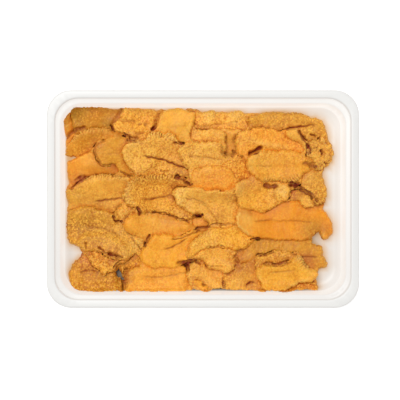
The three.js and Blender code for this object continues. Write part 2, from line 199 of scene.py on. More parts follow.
trayLook = {
    "rim": colour(233, 232, 229), "well": colour(122, 121, 119), "wellGain": 1.3,
    "roughness": 0.36, "roughnessSpread": 0.08, "roughnessSize": 30,
    "rippleSize": 9, "rippleHeight": 0.05, "rippleStrength": 0.3,
    # light, glow and the glow keys: painted light, an emission that sets how bright the well looks; glowTilt
    # paints the back walls brighter than the front
    "light": colour(255, 251, 246), "glow": 0.72, "glowTilt": 0.09,
    "glowHeights": [1.1, 2.5, 10, 20, 21.6, 22.3, 22.6, 23.1, 25.2, 25.9],
    "glowLevels": [0.87, 0.99, 0.98, 0.96, 1.02, 1.01, 0.93, 1.0, 0.95, 0],
    "glowFacing": (-0.1, 0.4), "glowInward": 10,
    # darkAlong, darkAcross, darkHeight: where the painted shade on the floor under the pile fades out
    "darkAlong": (72, 54), "darkAcross": (48, 42), "darkHeight": (6, 2),
    # bounce: painted contact shadow and warm bounce light on the tray next to the roe
    "bounce": colour(238, 196, 146), "bounceReach": 3.6, "bounceShare": 0.6, "bounceHeight": (1.5, 6),
    "contactReach": 1.4, "contactShare": 0.5,
}


def trayMaterial():
    s = trayLook
    shader = Shader("tray_plastic")
    place = shader.place()
    left, back, up = (shader.node("ShaderNodeSeparateXYZ", None, {0: place}, way) for way in "XYZ")
    # painted shade: a patch in the middle of the floor, low down, glows less
    dark = shader.ramp(left * left, *[(edge * mm) ** 2 for edge in s["darkAlong"]])
    dark = dark * shader.ramp(back, *[edge * mm for edge in s["darkAcross"]])
    dark = dark * shader.ramp(up, *[edge * mm for edge in s["darkHeight"]])
    lit = 1 - dark  # painted shade: the floor under and beside the pile gets less of the painted glow
    well = shader.attribute("well") * lit  # painted glow: an emission over the well's walls and floor that stands in for how they are lit
    roeShadeAndBounce = shader.attribute("roe_shade_and_bounce")
    # the well's paint is darker where the painted glow is, so the glow sets how bright it looks
    paint = shader.mix(s["rim"], s["well"], shader.attribute("well") * s["wellGain"])
    glow = shader.mix((0, 0, 0, 1), s["light"], well)
    ripple = shader.noise(place, s["rippleSize"])
    return shader.finish(
        # painted shadow and bounce light from the roe darken and warm the tray's paint and glow
        Base_Color=shader.tint(paint, s["bounce"], roeShadeAndBounce),
        Roughness=s["roughness"] + shader.noise(place, s["roughnessSize"]) * s["roughnessSpread"],
        Normal=shader.bump(ripple, s["rippleHeight"], s["rippleStrength"]),
        Emission_Color=shader.tint(glow, s["bounce"], roeShadeAndBounce),
        Emission_Strength=s["glow"],
    )


tray = {
    "length": 182, "width": 127, "height": 26, "sheet": 1.1,
    "cornerRadius": 14.5, "cornerSegments": 16, "cornerShrink": 75,
    "lip": [(0, 21.8), (0, 25.0), (0.12, 25.45), (0.42, 25.82), (0.9, 26)],
    "flange": [(4.2, 26), (4.62, 25.86), (4.86, 25.5)],
    "ledge": [(5.2, 23.1), (5.36, 22.75), (5.75, 22.6), (7.1, 22.5), (7.5, 22.3), (7.72, 21.8)],
    "wallFoot": 8.8, "floorRound": 4.6, "roundSteps": 9, "cellSize": 3, "smoothAngle": 40,
}


def traySection():  # inset from the rim and height of each step, from the lip to the floor
    s = tray
    section = s["lip"] + s["flange"] + s["ledge"]
    for step in range(s["roundSteps"], -1, -1):
        angle = step / s["roundSteps"] * math.pi / 2
        section.append((
            s["wallFoot"] + s["floorRound"] * (1 - math.sin(angle)),
            s["sheet"] + s["floorRound"] * (1 - math.cos(angle)),
        ))
    return section


def makeTray():
    s = tray
    section = traySection()
    bpy.ops.object.select_all(action="DESELECT")
    bpy.ops.mesh.primitive_plane_add(size=1, location=(0, 0, section[0][1] * mm))
    piece = bpy.context.object
    piece.name = "rounded_tray"
    bpy.ops.transform.resize(value=(s["length"] * mm, s["width"] * mm, 1))
    bpy.ops.object.transform_apply(location=True, rotation=True, scale=True)
    bpy.ops.object.mode_set(mode="EDIT")
    bpy.ops.mesh.select_mode(type="VERT")
    bpy.ops.mesh.select_all(action="SELECT")
    bpy.ops.mesh.bevel(affect="VERTICES", offset=s["cornerRadius"] * mm, segments=s["cornerSegments"])
    bpy.ops.mesh.select_mode(type="FACE")
    bpy.ops.mesh.select_all(action="SELECT")
    for (inset, z), (nextInset, nextZ) in zip(section, section[1:]):
        bpy.ops.mesh.extrude_region_move(TRANSFORM_OT_translate={"value": (0, 0, (nextZ - z) * mm)})
        if nextInset != inset:
            wide = (s["length"] / 2 - nextInset) / (s["length"] / 2 - inset)
            deep = (s["width"] / 2 - nextInset) / (s["width"] / 2 - inset)
            bpy.ops.transform.resize(value=(wide, deep, 1), center_override=(0, 0, nextZ * mm))
    bpy.ops.mesh.select_all(action="DESELECT")
    bpy.ops.object.mode_set(mode="OBJECT")
    for face in piece.data.polygons:  # the first face would close the lip underneath
        heights = [piece.data.vertices[corner].co.z for corner in face.vertices]
        face.select = all(abs(height - section[0][1] * mm) < 0.01 * mm for height in heights)
    bpy.ops.object.mode_set(mode="EDIT")
    bpy.ops.mesh.delete(type="ONLY_FACE")
    bpy.ops.object.mode_set(mode="OBJECT")
    applyModifier(piece, "SOLIDIFY", thickness=s["sheet"] * mm, offset=-1, use_even_offset=True)
    cutIntoCells(piece)
    bpy.ops.object.shade_smooth_by_angle(angle=math.radians(s["smoothAngle"]))
    lightWell(piece)
    piece.data.materials.append(trayMaterial())
    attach(piece, "root")
    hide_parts("tray")
    return piece


def cutIntoCells(piece):  # gives the tray's masks enough points to follow
    s = tray
    only(piece)
    bpy.ops.object.mode_set(mode="EDIT")
    for axis, reach in ((0, s["length"] / 2), (1, s["width"] / 2)):
        way = np.eye(3)[axis]
        for cut in np.arange(s["cellSize"] / 2 - reach, reach, s["cellSize"]):
            bpy.ops.mesh.select_all(action="SELECT")
            bpy.ops.mesh.bisect(plane_co=way * cut * mm, plane_no=way)
    bpy.ops.object.mode_set(mode="OBJECT")


def lightWell(piece):
    # paints the mask of the well's glow: painted light on the sheet's upward and inward faces, set by height
    s = trayLook
    points, normals = readPoints(piece.data), readNormals(piece.data)
    inward = -(normals[:, :2] * points[:, :2] / [tray["length"], tray["width"]]).sum(1) * s["glowInward"]
    facing = smoothStep(*s["glowFacing"], np.maximum(normals[:, 2], inward))
    well = facing * np.interp(points[:, 2], s["glowHeights"], s["glowLevels"])
    # painted light: the glow grows towards the back of the well
    well *= 1 + s["glowTilt"] * points[:, 1] / (tray["width"] / 2)
    writeMask(piece.data, "well", well)


def scatter(cell, seed):  # repeatable numbers from 0 to 1 for whole-number cells
    x, y, z = (cell[..., k].astype(np.int64) for k in range(3))
    h = (x * 73856093) ^ (y * 19349663) ^ (z * 83492791) ^ (seed * 2654435)
    h = ((h ^ (h >> 13)) * 1274126177) & 0xFFFFFFFF
    h = ((h ^ (h >> 15)) * 668265263) & 0xFFFFFFFF
    return ((h ^ (h >> 16)) & 0xFFFFFF) / 0xFFFFFF


def softNoise(points, size, seed):
    scaled = points / size
    cell = np.floor(scaled)
    part = scaled - cell
    part = part * part * (3 - 2 * part)
    total = np.zeros(len(points))
    for corner in np.ndindex(2, 2, 2):
        weight = np.prod(np.where(corner, part, 1 - part), axis=1)
        total += weight * scatter(cell + corner, seed)
    return total * 2 - 1


def beads(points, size, seed):  # distance to the nearest bead centre, in bead sizes
    scaled = points / size
    cell = np.floor(scaled)
    nearest = np.full(len(points), np.inf)
    for shift in np.ndindex(3, 3, 3):
        near = cell + np.array(shift) - 1
        centre = near + np.stack([scatter(near, seed + k) for k in range(3)], axis=1)
        nearest = np.minimum(nearest, np.linalg.norm(scaled - centre, axis=1))
    return nearest


def nearLine(points, line):  # distance in plan to a bent line, the place along it, and its length
    best = np.full(len(points), np.inf)
    along = np.zeros(len(points))
    passed = 0
    for a, b in zip(line, line[1:]):
        a, b = np.array(a, float), np.array(b, float)
        length = np.linalg.norm(b - a)
        t = np.clip((points[:, :2] - a) @ (b - a) / length ** 2, 0, 1)
        away = np.linalg.norm(points[:, :2] - a - t[:, None] * (b - a), axis=1)
        closer = away < best
        best[closer] = away[closer]
        along[closer] = (passed + t * length)[closer]
        passed += length
    return best, along, passed


common = {  # what a tongue has where its own entry says nothing else
    "voxel": 0.4, "grain": 0.6, "streak": 0.4, "lumps": 0.6, "crumble": 0,
    "ragged": 0.5, "comb": 0.5, "grow": 0.3, "web": 3.2,  # torn edge, ridges along it, how far it reaches out
    "plump": 1, "rim": 0.16, "roll": 1.7,  # thickness, height of the edge and how far it is rounded
    "pale": 0, "warm": 0, "drab": 0, "rosy": 1,
    "grooves": [], "fringes": [], "bands": [], "pits": [], "mounds": [], "stains": [], "blush": [],
}

# the lowest tongues come first; lines and outlines are in mm from the tray's middle, a spot is x, y,
# its size and how much of it there is, and a stain ends with how much paler, warmer and drabber it is
# stains are partly the roe's own colour and partly painted highlight and painted shade
tongues = {}
tongues["00"] = dict(
    slot="roe_orange", grain=0.3, plump=1.6, pale=0.2, warm=0.9, rosy=0.2,
    outline=[(-81.1, 47.8), (-82.3, 45.4), (-82.5, 41.3), (-81.4, 37.2), (-79.6, 33.9), (-76.1, 33),
        (-70.2, 36), (-67.8, 41.9), (-72.6, 46.6), (-77.3, 48.4)],
    bands=[([(-80.5, 47.2), (-80.8, 43.7), (-80.2, 40.7)], 1.2, 0.45)],
    mounds=[(-80.5, 44.2, 4, 2.8)],
)
tongues["01"] = dict(
    slot="roe_ochre", grain=0.4, ragged=0.3, warm=1, drab=0.7, rosy=0.2,
    outline=[(-77.9, 46), (-78.2, 49), (-77.6, 52.2), (-74.9, 54.2), (-70.8, 54.3), (-63.7, 54.4),
        (-58.4, 53.8), (-53.7, 53.4), (-49.6, 52.9), (-46.6, 49), (-47.8, 43.1), (-52.5, 40.1),
        (-60.8, 38.4), (-70.2, 38.4), (-74.9, 40.1), (-77.3, 43.1)],
    stains=[(-74.9, 50.7, 7, 0, 0.6, 0), (-61.9, 53.1, 5, 0, 0.6, -0.2), (-74.9, 49, 6, 0, 0.2, 0.25),
        (-56, 44.2, 5, 0, 0, 0.3)],
    blush=[(-51.3, 47.8, 4, 0.5)],
)
tongues["04"] = dict(
    slot="roe_golden", grain=0.9, pale=0.35,
    outline=[(-8.8, 50.7), (-4.1, 51.9), (2.9, 51.7), (11.2, 51.7), (18.3, 51.9), (22.4, 51.3), (26, 50.1),
        (30.7, 49), (32.4, 43.1), (27.7, 39.5), (19.5, 38.4), (7.1, 38.4), (-4.7, 38.9), (-10, 40.7)],
    grooves=[([(-6.5, 44.2), (1.2, 43.1), (10, 44.2), (21.8, 46)], 0.15)],
    bands=[([(1.8, 51), (7.7, 51)], 1.5, 0.9), ([(15.9, 51.3), (20.1, 50.7), (24.2, 49)], 1.7, 1)],
    mounds=[(21.2, 50.1, 3, 1), (5.3, 50.7, 3, 0.8)],
    stains=[(0.6, 41.9, 5, 0.25, 0, 0), (5.3, 50.4, 4, 0.4, 0, 0), (21.2, 50.1, 5, 0.5, 0, 0),
        (4.1, 50.1, 3, 0.5, 0.2, 0), (19.5, 49.6, 2.5, 0.5, 0.4, 0)],
)
tongues["21"] = dict(
    slot="roe_ochre", grain=0.4, streak=0.5, plump=1.2, pale=0.4, warm=0.1,
    outline=[(12.4, 40.1), (17.1, 40.7), (21.2, 38.9), (20.6, 31.9), (19.5, 27.7), (20.6, 24.2), (13.6, 23),
        (9.4, 25.4), (10, 31.3)],
)
tongues["28"] = dict(
    slot="roe_orange", grain=0.4, pale=0.35, warm=0.2,
    outline=[(-11.2, -15.9), (-8.8, -13), (-5.3, -11.5), (-0.6, -10.9), (2.9, -13), (5.9, -15.9),
        (5.3, -18.9), (0, -20.6), (-6.5, -21.8), (-10.6, -19.5)],
    mounds=[(0.6, -13.6, 3, 1.2), (-4.1, -13.6, 3, 0.8)],
)
tongues["32"] = dict(
    slot="roe_ochre", grain=0.9, drab=0.3,
    outline=[(-50.1, -37.2), (-47.8, -34.2), (-43.1, -32.4), (-38.9, -31.9), (-35.4, -37.2), (-32.4, -40.7),
        (-33.6, -45.4), (-40.7, -44.8), (-46.6, -43.7), (-49.6, -41.3)],
)
tongues["44"] = dict(
    slot="roe_ochre", grain=0.9, crumble=0.3, warm=0.4, drab=0.2,
    outline=[(46.6, -51.3), (52.5, -48.4), (59, -46.6), (64.9, -47.8), (67, -49.6), (68.4, -51.9),
        (68.1, -53.9), (61.9, -54), (54.3, -54), (47.8, -53.9)],
)
tongues["31"] = dict(
    slot="roe_ochre", grain=0.7, warm=0.35, drab=0.45, rosy=0.3,
    outline=[(-79.6, -45.4), (-78.8, -41.6), (-76.4, -38.4), (-73.5, -35.4), (-70.8, -32.7), (-66.7, -31.3),
        (-59.6, -33.6), (-54.6, -38.4), (-54, -41.9), (-51.6, -46), (-50.1, -49.9), (-49.3, -53.7),
        (-53.7, -54.4), (-62.5, -54.8), (-71.4, -54.2), (-76.1, -52.8), (-78.5, -50.1)],
    grooves=[([(-73.8, -43.7), (-69.6, -42.5), (-65.5, -42.5), (-61.9, -43.7)], 0.5)],
    stains=[(-58.4, -42.5, 5, 0, 0, 0.4), (-72.6, -34.8, 6, 0, 0, 0.4)],
    blush=[(-74.9, -31.9, 4, 0.7), (-71.4, -36, 5, 0.6), (-69, -38.9, 5, 0.5)],
)
tongues["41"] = dict(
    slot="roe_ochre", grain=0.35, streak=0.7, pale=0.1, drab=0.3, rosy=0.1,
    outline=[(17.1, -37.2), (20.6, -31.9), (24.8, -28.3), (28.3, -25.1), (34.8, -24.1), (43.1, -24.4),
        (51.3, -24.7), (59, -24.7), (63.7, -25.5), (67.3, -27), (69.9, -27.7), (71.6, -30.1), (72, -34.2),
        (73.2, -37.8), (72.3, -40.1), (68.4, -41.5), (63.7, -41.3), (57.2, -43.1), (45.4, -43.7),
        (34.8, -43.1), (26.5, -43.1), (20.6, -42.5)],
    grooves=[([(54.9, -34.8), (61.9, -34.2), (69, -34.8)], 0.5)],
    blush=[(22.4, -34.2, 5, 0.6), (62.5, -36.6, 5, 0.8)],
)
tongues["07"] = dict(
    slot="roe_ochre", grain=0.4, web=0.6, warm=0.25, drab=0.2,
    outline=[(-81.1, 25.7), (-81.4, 28.9), (-80.7, 32.2), (-78.2, 34.8), (-74.9, 37.8), (-71.7, 39.9),
        (-67.8, 41.3), (-61.9, 42.1), (-56, 41.3), (-51.3, 38.6), (-47.8, 34.8), (-49, 28.9), (-56, 24.2),
        (-66.7, 23), (-72.6, 24.2), (-76.7, 25.4)],
    fringes=[[(-79.6, 34.2), (-75.5, 37.8), (-69.6, 40.7), (-62.5, 41.9), (-53.7, 40.7)]],
    blush=[(-64.3, 28.9, 4, 0.6)],
)
tongues["10"] = dict(
    slot="roe_orange", grain=0.3, lumps=0.4, ragged=0.3, drab=0.15,
    outline=[(-80.7, 20.1), (-80.2, 22.2), (-76.7, 23.4), (-72.6, 25.4), (-67.8, 27.4), (-61.9, 27.7),
        (-53.7, 24.2), (-46.6, 20.1), (-41.9, 15.9), (-40.7, 11.2), (-46.6, 7.7), (-60.8, 5.3),
        (-72.6, 2.9), (-77.9, 4.7), (-79.1, 8.8), (-80.2, 13.6)],
    grooves=[([(-77.3, 7.1), (-73.2, 10.6), (-67.8, 13.6)], 0.6)],
    pits=[(-73.2, 12.4, 1, 0.6), (-74.9, 9.4, 1, 0.7), (-70.2, 14.2, 0.9, 0.5)],
    stains=[(-71.4, 27.7, 10, 0.3, 0, 0), (-63.7, 18.3, 7, 0.15, 0, 0), (-73.8, 9.4, 7, 0, 0.5, 0.1),
        (-58.4, 13.6, 6, 0, 0, 0.3)],
    blush=[(-73.2, 10.6, 5, 0.8), (-51.9, 19.5, 5, 0.5)],
)
tongues["08"] = dict(
    slot="roe_golden", grain=0.4, pale=0.1, drab=0.35,
    outline=[(-64.6, 30.7), (-63.7, 32.7), (-61.4, 34.2), (-57.8, 35), (-54.3, 36.1), (-50.1, 37),
        (-45.4, 36.7), (-39.5, 35.4), (-33.6, 31.3), (-32.4, 24.2), (-36, 18.3), (-41.9, 15.3),
        (-46.6, 14.8), (-49.3, 16.5), (-51, 18.6), (-52.2, 20.5), (-54, 20.9), (-56, 19.2), (-59, 19.7),
        (-61.4, 21.5), (-63.1, 24.2), (-64, 27.7)],
    grooves=[([(-57.2, 26.5), (-52.5, 27.1), (-47.8, 27.1)], 0.2)],
    blush=[(-43.1, 34.2, 5, 0.6), (-61.9, 30.7, 5, 0.6)],
)
tongues["02"] = dict(
    slot="roe_golden", grain=0.8, crumble=0.4, ragged=0.7, pale=0.3,
    outline=[(-46.6, 53.5), (-48.1, 50.1), (-50.1, 47.2), (-53.1, 45.1), (-53.7, 42.8), (-52.5, 40.4),
        (-50.1, 38.6), (-46.6, 38.1), (-43.1, 35.4), (-38.9, 33.9), (-34.8, 34.8), (-31.3, 37.2),
        (-27.7, 40.1), (-27.1, 44.2), (-25.4, 47.8), (-24.8, 51.9), (-30.1, 53.3), (-37.2, 53.6),
        (-43.1, 53.5)],
    grooves=[([(-49.6, 46.6), (-44.2, 46), (-38.9, 46.3)], 0.4)],
    pits=[(-34.2, 44.5, 1.1, 0.6), (-37.2, 44.2, 0.9, 0.5)],
    mounds=[(-36, 41.9, 2, 0.8), (-33, 46.6, 2.4, 0.9), (-30.7, 41.3, 2, 0.8), (-39.5, 39.5, 3, 0.5)],
    blush=[(-43.1, 36.6, 4, 0.5)],
)
tongues["05"] = dict(
    slot="roe_golden", grain=0.7, pale=0.25, drab=0.5,
    outline=[(26.5, 47.2), (29.5, 49.6), (34.8, 51), (40.7, 51.6), (48.4, 51.6), (53.7, 51.3), (57.8, 50.6),
        (61.9, 49.4), (65.2, 48.2), (66.7, 48.4), (69, 47.8), (71.1, 46), (72.3, 43.7), (74, 40.4),
        (74.9, 37.2), (74.3, 33.6), (72.6, 30.1), (65.5, 29.5), (59, 31.3), (51.3, 33.6), (42.5, 35.4),
        (33.6, 38.4), (28.9, 41.9)],
    grooves=[([(46, 40.1), (51.3, 41.9), (57.2, 43.1), (66.7, 44.2)], 0.9)],
    mounds=[(67.8, 40.1, 2.5, 0.8), (62.5, 40.7, 2, 0.6)],
)
tongues["11"] = dict(
    slot="roe_golden", grain=0.7, crumble=0.2, pale=0.45,
    outline=[(-8.3, 38.9), (-6.5, 40.4), (-1.8, 40.7), (5.3, 40.7), (10.6, 40.4), (12.7, 38.9),
        (13.3, 34.8), (12.7, 30.7), (7.1, 28.9), (-1.8, 28.9), (-7.7, 31.3), (-10, 35.4)],
    stains=[(-5.9, 37.2, 4, 0.4, 0, 0)],
)
tongues["03"] = dict(
    slot="roe_bright", grain=0.4, lumps=0.35, ragged=0.3, pale=0.25,
    outline=[(-24.2, 51.3), (-19.5, 53.4), (-13.6, 53.6), (-8.3, 52), (-4.7, 51), (-4.4, 49.6),
        (-5.3, 44.8), (-6.8, 40.7), (-7.7, 36.6), (-10, 33.6), (-14.8, 34.2), (-20.6, 34.8), (-25.4, 36.6),
        (-28.3, 40.1), (-27.1, 44.8)],
    grooves=[([(-21.8, 41.9), (-14.8, 43.1), (-7.7, 43.7)], 0.12)],
    stains=[(-13.6, 40.1, 8, 0, 0, 0.3)],
    blush=[(-25.4, 47.8, 3, 0.3)],
)
tongues["15"] = dict(
    slot="roe_golden", grain=0.45, lumps=0.4, pale=0.3, drab=0.15,
    outline=[(-81.4, 4.7), (-79.6, 6.2), (-76.7, 6.5), (-73.8, 8.8), (-70.2, 10.9), (-66.1, 13),
        (-61.4, 14.2), (-56, 14.8), (-50.1, 14.2), (-45.4, 13), (-40.7, 10), (-38.4, 4.1), (-39.5, -2.9),
        (-44.2, -7.7), (-51.3, -9.4), (-60.8, -8.3), (-70.2, -7.1), (-76.1, -6.2), (-79.1, -4.4),
        (-80.5, -0.6)],
    grooves=[([(-64.3, -1.8), (-57.8, -0.6), (-51.9, 0), (-46, 0.6)], 0.75)],
    fringes=[[(-80.8, 9.4), (-73.8, 12.4), (-65.5, 14.2), (-56, 14.8), (-46.6, 13)]],
    bands=[([(-49, 13.6), (-45.4, 11.2), (-42.5, 7.7)], 1.8, 0.3)],
    stains=[(-75.5, 1.8, 8, 0, 0, 0.45), (-60.8, -4.1, 7, 0, 0, 0.25)],
)
tongues["30"] = dict(
    slot="roe_golden", grain=0.9, crumble=0.8, ragged=0.8, pale=0.2,
    outline=[(-69.6, -28.3), (-69.9, -31.3), (-67.8, -34.5), (-66.4, -37.5), (-64.3, -40.7), (-61.9, -43.1),
        (-59, -44.2), (-55.5, -43.7), (-53.1, -41.6), (-50.1, -38.4), (-47.8, -35.7), (-50.1, -30.1),
        (-57.8, -26.5), (-65.5, -26)],
    grooves=[([(-61.4, -28.3), (-59, -32.4), (-54.9, -34.2), (-49, -35.4)], 0.7), ([(-48.4, -35.4),
        (-50.7, -38.4), (-53.1, -41.3)], 1.2)],
    blush=[(-51.9, -34.8, 5, 0.4), (-68.4, -33, 4, 0.6)],
)
tongues["20"] = dict(
    slot="roe_ochre", grain=0.85, pale=0.15, drab=0.2, rosy=0.15,
    outline=[(-80.8, -13.6), (-80.5, -8.8), (-79.1, -6.5), (-75.5, -5.5), (-71.4, -4.8), (-65.5, -5),
        (-60.2, -5.9), (-56, -7.4), (-53.1, -9.4), (-51.3, -13.3), (-47.8, -14.5), (-46, -17.1),
        (-42.5, -20.1), (-38.9, -20.6), (-36.3, -24.2), (-34.2, -28), (-36.6, -30.1), (-40.7, -33),
        (-44.8, -36.3), (-49.6, -35.7), (-53.7, -35.4), (-57.8, -33.6), (-60.8, -31.6), (-63.1, -30.4),
        (-67.8, -30.7), (-70.2, -30.4), (-73.2, -28.6), (-77.3, -26.8), (-79.9, -24.2), (-80.8, -19.5)],
    grooves=[([(-69.6, -15.9), (-61.9, -17.1), (-56, -18.3), (-49, -21.2)], 0.35)],
    bands=[([(-41.3, -22.4), (-38.4, -24.8), (-36, -28.3)], 2, 0.5)],
    mounds=[(-38.4, -24.2, 4, 1.2)],
    stains=[(-41.9, -33, 5, 0.4, 0, 0), (-45.4, -17.1, 5, 0.3, 0, 0), (-42.5, -19.5, 5, 0.4, 0, 0),
        (-53.7, -20.1, 7, 0.2, 0, -0.1), (-70.2, -15.3, 14, 0, 0, 0.3), (-44.2, -30.1, 8, 0.35, 0, 0),
        (-54.9, -19.5, 8, 0.25, 0, 0), (-38.4, -24.8, 4, 0.3, 0, 0), (-79.6, -19.5, 5, 0.1, 0.7, 0),
        (-74.9, -15.3, 7, 0, 0, 0.3), (-38.9, -24.8, 4, 0.6, 0, 0), (-45.4, -28.9, 6, -0.1, 0, 0)],
    blush=[(-62.5, -29.5, 5, 0.5), (-51.9, -32.4, 4, 0.5)],
)
tongues["29"] = dict(
    slot="roe_golden", grain=0.9, crumble=0.7, ragged=0.8, pale=0.2,
    outline=[(-50.7, -4.7), (-46.6, -3.5), (-42.5, -4.7), (-38.9, -7.1), (-41.3, -10), (-44.5, -12.4),
        (-47.5, -13), (-49.6, -11.2), (-50.7, -8.3)],
    mounds=[(-44.8, -7.7, 3, 0.9)],
    stains=[(-46, -10, 5, 0.5, 0, 0)],
)
tongues["33"] = dict(
    slot="roe_golden", grain=0.5, lumps=0.35, ragged=0.3, pale=0.2, warm=0.15, rosy=0.4,
    outline=[(-46.9, -42.5), (-43.1, -41.6), (-37.2, -40.1), (-31.3, -37.2), (-22.4, -36), (-13.6, -37.2),
        (-6.5, -39.5), (-2.9, -42.5), (-4.1, -46.6), (-6.5, -51.6), (-9.7, -54.3), (-18.3, -54.6),
        (-28.3, -54.7), (-38.4, -54.6), (-46.3, -54.2), (-47.2, -48.4)],
    grooves=[([(-35.4, -46), (-30.1, -46.6), (-21.8, -46), (-7.7, -43.1)], 0.25)],
    mounds=[(-31.3, -41.9, 5, 0.8), (-22.4, -42.5, 5, 0.8), (-14.8, -42.5, 5, 0.6)],
    stains=[(-46, -46.6, 5, 0, 0, 0.6)],
    blush=[(-46.3, -47.8, 3, 0.8), (-46, -43.1, 3, 0.5)],
)
tongues["37"] = dict(
    slot="roe_golden", grain=0.7, crumble=0.4, pale=0.5,
    outline=[(-8.8, -41.9), (-6.5, -37.8), (-2.9, -35.4), (1.8, -37.2), (6.5, -40.7), (11.2, -41.9),
        (12.7, -46), (11.8, -49.6), (10.9, -52.7), (6.5, -53.1), (1.8, -52.8), (-5.3, -51.9),
        (-8.8, -48.4)],
)
tongues["39"] = dict(
    slot="roe_golden", crumble=0.4, pale=0.15, drab=0.25,
    outline=[(12.4, -49), (13, -44.8), (15.9, -42.2), (20.6, -39.5), (26.5, -37.2), (31.3, -37.8),
        (34.8, -43.1), (36, -50.1), (34.8, -53.9), (27.7, -54), (20.6, -53.9), (15.3, -53.6),
        (13.3, -51.9)],
    grooves=[([(25.7, -53.1), (26, -50.7), (28.3, -49.3), (31.9, -49.6)], 0.8)],
    stains=[(20.1, -49, 5, 0.4, 0, -0.2), (23.6, -40.7, 5, 0, 0, 0.3)],
    blush=[(27.7, -41.3, 4, 0.6), (19.5, -38.9, 6, 0.5), (28.9, -51.3, 3, 0.5)],
)
tongues["42"] = dict(
    slot="roe_ochre", grain=0.9, crumble=0.5, ragged=0.8, pale=0.2,
    outline=[(30.1, -37.2), (31.3, -34.2), (34.8, -33.3), (38.4, -33), (41.9, -31.3), (47.8, -31.3),
        (53.7, -32.4), (56, -34.2), (53.7, -36.6), (47.8, -38.6), (40.7, -39.8), (33.6, -40.1)],
)
tongues["43"] = dict(
    slot="roe_bright", grain=0.4, ragged=0.7, drab=0.15,
    outline=[(31.9, -41.9), (33, -40.1), (35.4, -39.2), (40.7, -39.2), (46.6, -38.6), (51.3, -37.2),
        (53.7, -35.1), (55.5, -33.6), (57.8, -33.9), (59.3, -35.4), (60.2, -37.8), (61.4, -40.1),
        (64.3, -41.6), (66.7, -43.1), (67.8, -45.1), (67, -47.2), (64.9, -48.7), (61.4, -48.4), (59, -49),
        (55.5, -50.4), (51.9, -52.2), (49.6, -53.7), (47.2, -54), (39.5, -54), (36, -53.3), (34.2, -51.3),
        (33, -47.8), (31.9, -44.8)],
    grooves=[([(39.5, -43.7), (47.8, -43.1), (55.5, -41.9)], 0.3)],
    fringes=[[(53.7, -33.6), (57.2, -34.2), (60.2, -37.8), (62.5, -41.3)]],
    bands=[([(47.8, -53.4), (53.1, -50.4), (59, -48.1), (64.9, -47.2)], 1.1, 0.5), ([(33, -41.9),
        (33.6, -46), (35.4, -50.1)], 1.2, 0.4)],
    stains=[(57.2, -34.2, 2.5, 0.6, 0, 0), (61.4, -39.5, 3, 0.4, 0, 0), (64.9, -44.2, 3, 0.4, 0, 0)],
)
tongues["38"] = dict(
    slot="roe_bright", grain=0.4, warm=0.3,
    outline=[(-5.6, -49), (-3.5, -47.8), (-0.6, -48.4), (1.8, -50.7), (2.9, -53.3), (0.6, -53.7),
        (-2.4, -52.5), (-4.7, -50.7)],
    pits=[(0.9, -50.4, 1.2, 0.8)],
)
tongues["27"] = dict(
    slot="roe_golden", grain=0.35, lumps=0.5, ragged=0.3, roll=3.5, pale=0.15, warm=0.2, rosy=0.6,
    outline=[(-46.8, -15.9), (-45.7, -13), (-43.4, -10.5), (-40.1, -8.8), (-34.2, -8.3), (-27.7, -8.3),
        (-21.8, -9.1), (-17.1, -10.9), (-12.4, -12.4), (-7.7, -13.6), (-5.9, -15.9), (-7.7, -18.9),
        (-12.4, -21.2), (-18.3, -23), (-25.4, -23.6), (-32.4, -23.3), (-37.2, -22.7), (-41.3, -21.2),
        (-44.8, -19.2)],
    stains=[(-25.4, -17.1, 10, 0.2, 0, 0), (-33, -9.4, 4, 0.35, 0, 0)],
    blush=[(-20.6, -11.2, 6, 0.4)],
)
tongues["09"] = dict(
    slot="roe_golden", grain=0.95, pale=0.55, rosy=0.5,
    outline=[(-47.5, 27.1), (-47.2, 30.1), (-44.8, 31.9), (-41.3, 33.6), (-37.2, 35.1), (-33.6, 35.4),
        (-31.9, 38.4), (-28.3, 39.8), (-25.4, 39.2), (-24.5, 36.6), (-23, 38.6), (-20.1, 39.5),
        (-16.5, 37.8), (-14.8, 34.8), (-13.6, 30.7), (-10, 27.1), (-6.5, 23), (-5.3, 17.1), (-6.5, 11.2),
        (-11.2, 11.8), (-17.1, 13.6), (-25.4, 14.5), (-32.4, 15), (-38.4, 15.6), (-42.5, 17.4),
        (-45.4, 20.6), (-46.9, 23.9)],
    grooves=[([(-35.4, 25.4), (-28.3, 24.2), (-22.4, 23), (-15.9, 20.1), (-10.6, 19.5), (-5.9, 17.1)],
        1.05)],
    fringes=[[(-44.8, 34.8), (-37.2, 37.8), (-30.1, 39.5), (-22.4, 38.9), (-14.8, 34.8)]],
    bands=[([(-34.2, 34.2), (-42.5, 31.9), (-45.4, 27.7), (-44.2, 21.2)], 2.2, 0.3)],
    stains=[(-13.6, 13.6, 5, 0, 0, 0.6)],
    blush=[(-12.4, 15.9, 6, 0.4), (-20.6, 28.9, 5, 0.25)],
)
